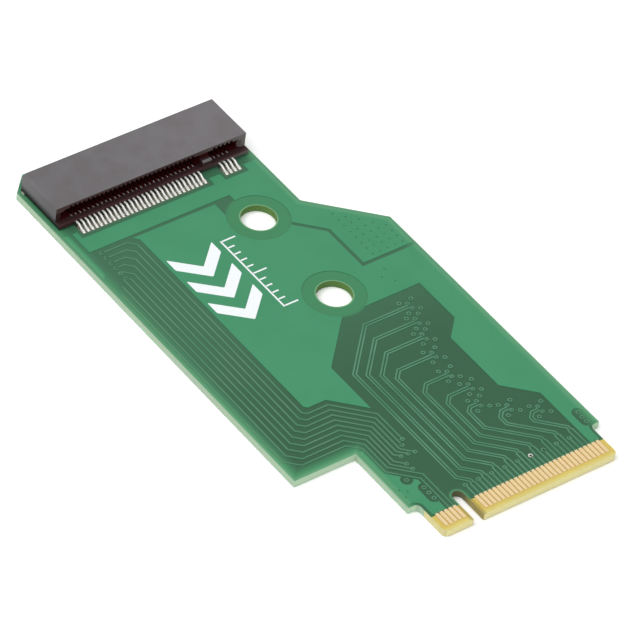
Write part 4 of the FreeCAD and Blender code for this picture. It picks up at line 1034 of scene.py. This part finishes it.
    # Painted shade: the dark depth of an open via
    open_hole_shade: FloatVectorProperty(
        name="Open well", description="Depth of a via that the lacquer leaves open", subtype="COLOR",
        default=srgb(16, 36, 26))
    covered_well: FloatVectorProperty(
        name="Covered well", description="Lacquer over a via under the pour", subtype="COLOR",
        default=under_gloss(55, 105, 77))
    ink: FloatVectorProperty(
        name="Ink", description="Printed marks", subtype="COLOR", default=srgb(246, 249, 252))
    ink_thin: FloatVectorProperty(
        name="Ink, thinner", description="Printed marks where the ink is thin", subtype="COLOR",
        default=srgb(234, 242, 242))


class ViaSizes(bpy.types.PropertyGroup):
    """Sizes of the plated vias"""
    ring_diameter: FloatProperty(
        name="Ring diameter", description="Middle of a via's ring", unit="LENGTH", default=0.36 * MM)
    ring_width: FloatProperty(
        name="Ring width", description="Width of a via's ring", unit="LENGTH", default=0.13 * MM)
    dot_diameter: FloatProperty(
        name="Dot diameter", description="Mouth of a via under the lacquer", unit="LENGTH",
        default=0.22 * MM)
    dot_height: FloatProperty(
        name="Dot height", description="Rise of the lacquer in a via's mouth", unit="LENGTH",
        default=0.008 * MM)
    sides: IntProperty(name="Sides", description="Sides of a via's ring", default=14)


class PrintSizes(bpy.types.PropertyGroup):
    """Sizes of the direction marks and of the millimetre rule"""
    film: FloatProperty(
        name="Film", description="Thickness of the ink", unit="LENGTH", default=0.015 * MM)
    stroke: FloatProperty(
        name="Stroke", description="Width of the direction marks", unit="LENGTH", default=1.15 * MM)
    span: FloatProperty(
        name="Span", description="Width of a direction mark", unit="LENGTH", default=5.2 * MM)
    depth: FloatProperty(
        name="Depth", description="Length of a direction mark from tip to shoulder", unit="LENGTH",
        default=2.4 * MM)
    spacing: FloatProperty(
        name="Spacing", description="Distance from one direction mark to the next", unit="LENGTH",
        default=3.3 * MM)
    corner: FloatProperty(
        name="Corner", description="Rounding of the direction marks", unit="LENGTH", default=0.12 * MM)
    count: IntProperty(name="Count", description="Number of direction marks", default=3)
    line: FloatProperty(
        name="Line", description="Width of the rule's lines", unit="LENGTH", default=0.17 * MM)
    short_tick: FloatProperty(
        name="Short tick", description="Length of the rule's short ticks", unit="LENGTH", default=0.7 * MM)
    long_tick: FloatProperty(
        name="Long tick", description="Length of the rule's long ticks", unit="LENGTH", default=1.5 * MM)


class SocketLook(bpy.types.PropertyGroup):
    """Finishes and sizes of the socket, its contacts and its clips"""
    # Grey plastic of the housing; the darker lip and mouth colours below are painted shade
    plastic: FloatVectorProperty(
        name="Plastic", description="Matte top and ends of the housing", subtype="COLOR",
        default=srgb(104, 100, 102))
    plastic_cloud: FloatVectorProperty(
        name="Plastic cloud", description="Paler clouds in the matte plastic", subtype="COLOR",
        default=srgb(111, 108, 112))
    # Painted shade: the ends take a darker copy of the grey plastic
    plastic_end_shade: FloatVectorProperty(
        name="Plastic ends", description="Ends of the housing", subtype="COLOR", default=srgb(87, 86, 87))
    # Painted shade on the front faces, and painted light on them at the right end
    plastic_front_shade: FloatVectorProperty(
        name="Plastic front", description="Front of the roof and walls, browner than the top",
        subtype="COLOR", default=srgb(80, 57, 59))
    plastic_front_lit_right: FloatVectorProperty(
        name="Plastic front, right", description="Front of the housing at its right end", subtype="COLOR",
        default=srgb(115, 105, 105))
    # Painted shade: the lip and the inside of the mouth, darker where the socket's own shade falls
    plastic_lip_shade: FloatVectorProperty(
        name="Lip plastic", description="Smooth plastic of the lip and round the mouth", subtype="COLOR",
        default=srgb(52, 30, 33))
    plastic_mouth_shade: FloatVectorProperty(
        name="Deep plastic", description="Smooth plastic inside the mouth", subtype="COLOR",
        default=srgb(62, 7, 10))
    edge_round: FloatProperty(
        name="Edge rounding", description="Rounding of the housing's edges", unit="LENGTH",
        default=0.03 * MM)
    edge_angle: FloatProperty(
        name="Edge angle", description="Edges sharper than this are rounded", subtype="ANGLE",
        default=math.radians(40))
    metal: FloatVectorProperty(
        name="Contact metal", description="Tinned contacts and solder", subtype="COLOR",
        default=srgb(252, 251, 248))
    metal_shadow: FloatVectorProperty(
        name="Contact shadow", description="Contacts in their drawn streaks", subtype="COLOR",
        default=srgb(236, 234, 229))
    clip: FloatVectorProperty(
        name="Clip metal", description="Dull tin of the hold-down clips", subtype="COLOR",
        default=srgb(166, 174, 153))
    clip_shadow: FloatVectorProperty(
        name="Clip shadow", description="Hold-down clips in their drawn streaks", subtype="COLOR",
        default=srgb(138, 145, 124))
    # Painted shade: the contacts' arms inside the socket
    arm_shade: FloatVectorProperty(
        name="Contact arms", description="Bare bronze of the contacts inside the socket", subtype="COLOR",
        default=srgb(52, 17, 17))
    strip_width: FloatProperty(
        name="Strip width", description="Width of a contact", unit="LENGTH", default=0.18 * MM)
    strip_thickness: FloatProperty(
        name="Strip thickness", description="Thickness of a contact", unit="LENGTH", default=0.14 * MM)
    bend_radius: FloatProperty(
        name="Bend radius", description="Bends of a contact at its middle", unit="LENGTH",
        default=0.22 * MM)


class StageSettings(bpy.types.PropertyGroup):
    """Floor, light and camera of the studio"""
    floor: FloatVectorProperty(
        name="Floor", description="Pale studio floor", subtype="COLOR", default=(0.86, 0.86, 0.86))
    floor_cloud: FloatProperty(
        name="Floor cloud", description="Tone of the floor's faint clouds", subtype="FACTOR", default=0.98)
    floor_seen: FloatProperty(
        name="Floor as seen", description="White of the floor to the camera and in reflections",
        default=1.18)
    floor_reach: FloatProperty(
        name="Floor reach", description="How far the floor goes each way", unit="LENGTH", default=1.5)
    floor_drop: FloatProperty(
        name="Floor drop", description="Gap between the floor and the board", unit="LENGTH",
        default=0.02 * MM)
    sky_dim: FloatProperty(
        name="Dim sky", description="Light from the side away from the lamp", default=0.20)
    sky_bright: FloatProperty(
        name="Bright sky", description="Light from the side of the lamp", default=1.03)
    sky_from: FloatVectorProperty(
        name="Sky direction", description="Where most of the light comes from", subtype="DIRECTION",
        default=(-0.45, -0.05, 0.89))
    key_power: FloatProperty(
        name="Key light", description="Large lamp over the back left", unit="POWER", default=1.08)
    key_width: FloatProperty(
        name="Key light width", description="Sides of the lamp", unit="LENGTH", default=0.4)
    key_place: FloatVectorProperty(
        name="Key light place", description="Where the lamp hangs", subtype="TRANSLATION", unit="LENGTH",
        default=(-0.30, 0.16, 0.48))
    eye: FloatVectorProperty(
        name="Eye", description="Where the camera stands", subtype="TRANSLATION", unit="LENGTH",
        default=(-0.26241, -0.25553, 0.35629))
    turn: FloatVectorProperty(
        name="Turn", description="How the camera is turned", subtype="EULER", unit="ROTATION",
        default=tuple(math.radians(angle) for angle in (46.8762, -6.3251, -36.5497)))
    lens: FloatProperty(
        name="Lens", description="Focal length on a 36 mm sensor, in millimetres", default=319.127)


# Operators

class ADAPTER_OT_paint_board(bpy.types.Operator):
    """Lacquers the laminate and the copper and plates the fingers and pads"""
    bl_idname = "adapter.paint_board"
    bl_label = "Paint board"

    def execute(self, context):
        look = context.scene.adapter_board
        pour = copper_material("lacquered_pour", look, look.lacquer_on_copper, look.lacquer_thin)
        trace = copper_material("lacquered_trace", look, look.trace, look.trace_thin)
        bus = copper_material("lacquered_bus", look, look.bus_trace, look.trace)
        gold = gold_material(look)
        tin = metal_material("tinned_pad", look.tin, look.tin_shadow, metallic=0.5, roughness=0.42,
                             grain=(2.0, 2.0, 2.0), grain_scale=3.0)
        finishes = {
            "circuit_board": laminate_material(look),
            "top_edge_fingers": gold,
            "bottom_edge_fingers": gold,
            "front_tail_pads": tin,
            "rear_tail_pads": tin,
            "hold_down_pads": tin,
            "top_supply_pour": pour,
            "top_ground_pour": pour,
            "bottom_ground_pour": pour,
            "differential_pair_traces": trace,
            "side_bus_traces": bus,
            "ground_stub_traces": trace,
        }
        for name, material in finishes.items():
            paint(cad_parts[name].data, material)
        return {"FINISHED"}


class ADAPTER_OT_drill_vias(bpy.types.Operator):
    """Sets the rings and wells of the plated vias"""
    bl_idname = "adapter.drill_vias"
    bl_label = "Drill vias"

    def execute(self, context):
        look = context.scene.adapter_board
        sizes = context.scene.adapter_vias
        copper = via_material(look)
        bare = metal_material("bare_via_metal", look.bare_ring, look.tin, metallic=0.3, roughness=0.4,
                              grain=(3.0, 3.0, 3.0), grain_scale=3.0)
        well = well_material("via_well", look.via_well, look.lacquer_on_laminate)
        # Painted shade: a near-black lens stands for the dark depth of the open vias
        deep = well_material("open_via_well", look.open_hole_shade, look.via_well)
        covered = well_material("covered_via_well", look.covered_well, look.lacquer_leak)
        middle = (POUR_TOP + LAMINATE_TOP) / 2
        closed_wells = [place for place in open_vias() if place not in OPEN_WELLS]
        self.set_rings("via_rings", open_vias(), middle, copper, sizes, "lacquered_copper")
        self.set_rings("bare_via_rings", BRIGHT_VIAS, middle, bare, sizes, "tin_plating")
        self.set_wells("via_wells", closed_wells, LAMINATE_TOP, well, sizes, "laminate")
        self.set_wells("open_via_wells", OPEN_WELLS, POUR_TOP, deep, sizes, "laminate")
        self.set_wells("covered_via_wells", covered_vias(), POUR_TOP, covered, sizes, "lacquered_copper")
        return {"FINISHED"}

    def set_rings(self, name, places, z, material, sizes, slot):
        """Flat rings that fill the height of the copper."""
        values = {"Radius": sizes.ring_diameter / 2, "Width": sizes.ring_width,
                  "Height": (POUR_TOP - LAMINATE_TOP) * MM, "Sides": sizes.sides}
        points = point_mesh(f"{name}_places", places, z)
        new_piece(name, run_tree(name, points, ring_tree(name, material), values), slot)

    def set_wells(self, name, places, z, material, sizes, slot):
        """Shallow lenses of lacquer in the mouths of the vias."""
        values = {"Radius": sizes.dot_diameter / 2, "Height": sizes.dot_height, "Sides": sizes.sides}
        points = point_mesh(f"{name}_places", places, z)
        new_piece(name, run_tree(name, points, dot_tree(name, material), values), slot)


class ADAPTER_OT_print_marks(bpy.types.Operator):
    """Prints plain direction marks and a millimetre rule"""
    bl_idname = "adapter.print_marks"
    bl_label = "Print marks"

    def execute(self, context):
        sizes = context.scene.adapter_print
        ink = print_material(context.scene.adapter_board)
        high = POUR_TOP + sizes.film / MM
        tip_x, tip_y = MARK_TIP
        marks = [chevron(tip_x, tip_y + number * sizes.spacing / MM, sizes.span / MM, sizes.depth / MM,
                         sizes.stroke / MM) for number in range(sizes.count)]
        rule = ruler(sizes.line / MM, sizes.short_tick / MM, sizes.long_tick / MM)
        for name, outlines, rounding in (("direction_marks", marks, sizes.corner / MM),
                                         ("millimetre_rule", rule, 0.0)):
            mesh = raised_mesh(name, outlines, POUR_TOP, high, rounding)
            paint(mesh, ink)
            new_piece(name, mesh, "laminate")
        return {"FINISHED"}


class ADAPTER_OT_mould_socket(bpy.types.Operator):
    """Eases the edges of the socket's housing and gives it its plastic"""
    bl_idname = "adapter.mould_socket"
    bl_label = "Mould socket"

    def execute(self, context):
        look = context.scene.adapter_socket
        name = "socket_shell"
        weld = 0.0005 * MM
        flatness = math.radians(1.0)
        build = bmesh.new()
        build.from_mesh(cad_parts["socket_housing"].data)
        bmesh.ops.remove_doubles(build, verts=build.verts[:], dist=weld)
        bmesh.ops.dissolve_limit(build, angle_limit=flatness, verts=build.verts[:], edges=build.edges[:])
        holder = holder_for(name, mesh_from(build, name))
        bevel = holder.modifiers.new("eased_edges", "BEVEL")
        bevel.width = look.edge_round
        bevel.segments = 2
        bevel.limit_method = "ANGLE"
        bevel.angle_limit = look.edge_angle
        shell = evaluated_mesh(holder, name)
        paint(shell, plastic_material(look))
        new_piece(name, shell, "housing_plastic", "socket_housing")
        return {"FINISHED"}


class ADAPTER_OT_form_contacts(bpy.types.Operator):
    """Forms the contact strips of both rows, with rounded bends, and tins the clips"""
    bl_idname = "adapter.form_contacts"
    bl_label = "Form contacts"

    def execute(self, context):
        look = context.scene.adapter_socket
        metal = contact_material(look)
        thickness, width = look.strip_thickness / MM, look.strip_width / MM
        foot = POUR_TOP + thickness / 2
        for node, points, row in (("lower_contacts", self.lower_line(foot), LOWER_ROW),
                                  ("upper_contacts", self.upper_line(foot), UPPER_ROW)):
            name = f"{node}_strips"
            single = strip_mesh(f"{node}_single", points, thickness, width, look.bend_radius / MM)
            new_piece(name, pin_row(name, single, metal, row), "contact_metal", node)
        clip = metal_material("clip_metal", look.clip, look.clip_shadow, metallic=0.4, roughness=0.4,
                              grain=(1.0, 9.0, 1.0), grain_scale=3.0)
        for node in ("left_hold_down_clip", "right_hold_down_clip", "hold_down_solder"):
            paint(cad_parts[node].data, clip)
        return {"FINISHED"}

    def lower_line(self, foot):
        """From the front toe under the lip to the hump that the drive's card presses down."""
        heel_y = FRONT_TOE_Y + TAIL_FOOT
        arm_y = LIP_Y + LOWER_ARM_START
        hump_y = arm_y + LOWER_ARM
        return [(FRONT_TOE_Y, foot), (heel_y, foot), (heel_y + LOWER_SLOPE, LOWER_LEVEL),
                (arm_y, LOWER_LEVEL), (hump_y, LOWER_HUMP), (hump_y + LOWER_NOSE, LOWER_TIP)]

    def upper_line(self, foot):
        """From the rear toe up the socket's back and forwards to the hump over the drive's card."""
        climb_y = SOCKET_BACK_Y - UPPER_CLIMB
        arm_y = climb_y - UPPER_BACK
        hump_y = arm_y - UPPER_ARM
        return [(REAR_TOE_Y, foot), (REAR_TOE_Y - TAIL_FOOT, foot), (SOCKET_BACK_Y, UPPER_WAIST),
                (climb_y, UPPER_WAIST), (climb_y, UPPER_LEVEL), (arm_y, UPPER_LEVEL), (hump_y, UPPER_HUMP),
                (hump_y - UPPER_NOSE, UPPER_TIP)]


class ADAPTER_OT_flow_solder(bpy.types.Operator):
    """Flows solder round the feet of the contacts"""
    bl_idname = "adapter.flow_solder"
    bl_label = "Flow solder"

    def execute(self, context):
        look = context.scene.adapter_socket
        solder = metal_material("solder", look.metal, look.metal_shadow, metallic=0.3, roughness=0.26,
                                grain=(1.0, 1.0, 1.0), grain_scale=5.0)
        width = look.strip_width / MM * SOLDER_WIDTH
        height = look.strip_thickness / MM * SOLDER_HEIGHT
        front_low, front_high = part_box("front_solder_joints")
        rear_low, rear_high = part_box("rear_solder_joints")
        front_toe, rear_toe = front_high.y / MM, rear_low.y / MM
        joints = (
            ("front", front_toe, front_toe + SOLDER_HEEL, front_low.y / MM, LOWER_ROW),
            ("rear", rear_toe, rear_toe - SOLDER_HEEL, rear_high.y / MM, UPPER_ROW),
        )
        for side, toe, heel, pad_end, row in joints:
            name = f"{side}_solder_flow"
            single = solder_mesh(f"{side}_solder_single", toe, heel, pad_end, width, height)
            new_piece(name, pin_row(name, single, solder, row), "solder", f"{side}_solder_joints")
        return {"FINISHED"}


class ADAPTER_OT_set_stage(bpy.types.Operator):
    """Sets the pale floor, the soft light and the camera"""
    bl_idname = "adapter.set_stage"
    bl_label = "Set stage"

    def execute(self, context):
        scene = context.scene
        stage = scene.adapter_stage
        self.lay_floor(scene, stage)
        self.light_room(scene, stage)
        self.hang_lamp(scene, stage)
        self.place_camera(scene, stage)
        scene.view_settings.view_transform = "Standard"
        return {"FINISHED"}

    def lay_floor(self, scene, stage):
        """A pale floor that the camera and the reflections see as white."""
        reach, level = stage.floor_reach, -stage.floor_drop
        mesh = bpy.data.meshes.new("studio_floor")
        corners = [(x, y, level) for x, y in bar(-reach, reach, -reach, reach)]
        mesh.from_pydata(corners, [], [range(len(corners))])
        surface = Surface("studio_floor")
        clouded = [stage.floor_cloud * tone for tone in stage.floor]
        plain = surface.mix(surface.noise(surface.place, scale=0.02), stage.floor, clouded)
        white = [stage.floor_seen] * len(clouded)
        mesh.materials.append(surface.finish(colour=surface.mix(surface.shows_room(), plain, white),
                                             roughness=0.9, specular=FLOOR_SPECULAR))
        floor = bpy.data.objects.new("studio_floor", mesh)
        scene.collection.objects.link(floor)

    def light_room(self, scene, stage):
        """Soft light from all round, brighter from one side, in front of a white room."""
        fade_start, fade_end = -0.2, 0.9
        world = bpy.data.worlds.new("studio_room")
        world.use_nodes = True
        scene.world = world
        nodes = Nodes(world.node_tree)
        background = world.node_tree.nodes["Background"]
        background.inputs["Color"].default_value = (1.0, 1.0, 1.0, 1.0)
        direction = nodes.add("ShaderNodeTexCoord").outputs["Generated"]
        towards = nodes.add("ShaderNodeVectorMath", {0: direction, 1: stage.sky_from},
                            operation="DOT_PRODUCT").outputs["Value"]
        light = nodes.smooth(towards, fade_start, fade_end, start=stage.sky_dim, end=stage.sky_bright)
        nodes.put(nodes.blend(nodes.shows_room(), light, 1.0), background.inputs["Strength"])

    def hang_lamp(self, scene, stage):
        """One large lamp that looks at the board."""
        lamp = bpy.data.lights.new("key_lamp", "AREA")
        lamp.shape = "SQUARE"
        lamp.size = stage.key_width
        lamp.energy = stage.key_power
        holder = bpy.data.objects.new("key_lamp", lamp)
        holder.location = stage.key_place
        holder.rotation_euler = (-Vector(stage.key_place)).to_track_quat("-Z", "Y").to_euler()
        scene.collection.objects.link(holder)

    def place_camera(self, scene, stage):
        """The camera at the photograph's viewing angle."""
        data = bpy.data.cameras.new("photo_camera")
        data.sensor_width = 36.0
        data.lens = stage.lens
        data.clip_start = 0.01
        data.clip_end = 10.0
        camera = bpy.data.objects.new("photo_camera", data)
        camera.location = stage.eye
        camera.rotation_euler = Euler(stage.turn, "XYZ")
        scene.collection.objects.link(camera)
        scene.camera = camera


class ADAPTER_PT_steps(bpy.types.Panel):
    """Lists the steps that finish the adapter"""
    bl_idname = "ADAPTER_PT_steps"
    bl_label = "Extension adapter"
    bl_space_type = "VIEW_3D"
    bl_region_type = "UI"
    bl_category = "Adapter"

    def draw(self, context):
        for step in STEPS:
            self.layout.operator(step.bl_idname)


STEPS = (
    ADAPTER_OT_paint_board,
    ADAPTER_OT_drill_vias,
    ADAPTER_OT_print_marks,
    ADAPTER_OT_mould_socket,
    ADAPTER_OT_form_contacts,
    ADAPTER_OT_flow_solder,
    ADAPTER_OT_set_stage,
)
GROUPS = {
    "adapter_board": BoardLook,
    "adapter_vias": ViaSizes,
    "adapter_print": PrintSizes,
    "adapter_socket": SocketLook,
    "adapter_stage": StageSettings,
}


def register():
    """Registers the settings, the steps and the panel."""
    for group in GROUPS.values():
        bpy.utils.register_class(group)
    for name, group in GROUPS.items():
        setattr(bpy.types.Scene, name, PointerProperty(type=group))
    for step in STEPS:
        bpy.utils.register_class(step)
    bpy.utils.register_class(ADAPTER_PT_steps)


def unregister():
    """Takes the panel, the steps and the settings away again."""
    bpy.utils.unregister_class(ADAPTER_PT_steps)
    for step in reversed(STEPS):
        bpy.utils.unregister_class(step)
    for name, group in GROUPS.items():
        delattr(bpy.types.Scene, name)
        bpy.utils.unregister_class(group)


def main():
    """Finishes the adapter step by step."""
    register()
    bpy.ops.adapter.paint_board()
    bpy.ops.adapter.drill_vias()
    bpy.ops.adapter.print_marks()
    bpy.ops.adapter.mould_socket()
    bpy.ops.adapter.form_contacts()
    bpy.ops.adapter.flow_solder()
    bpy.ops.adapter.set_stage()


if __name__ == "__main__":
    main()
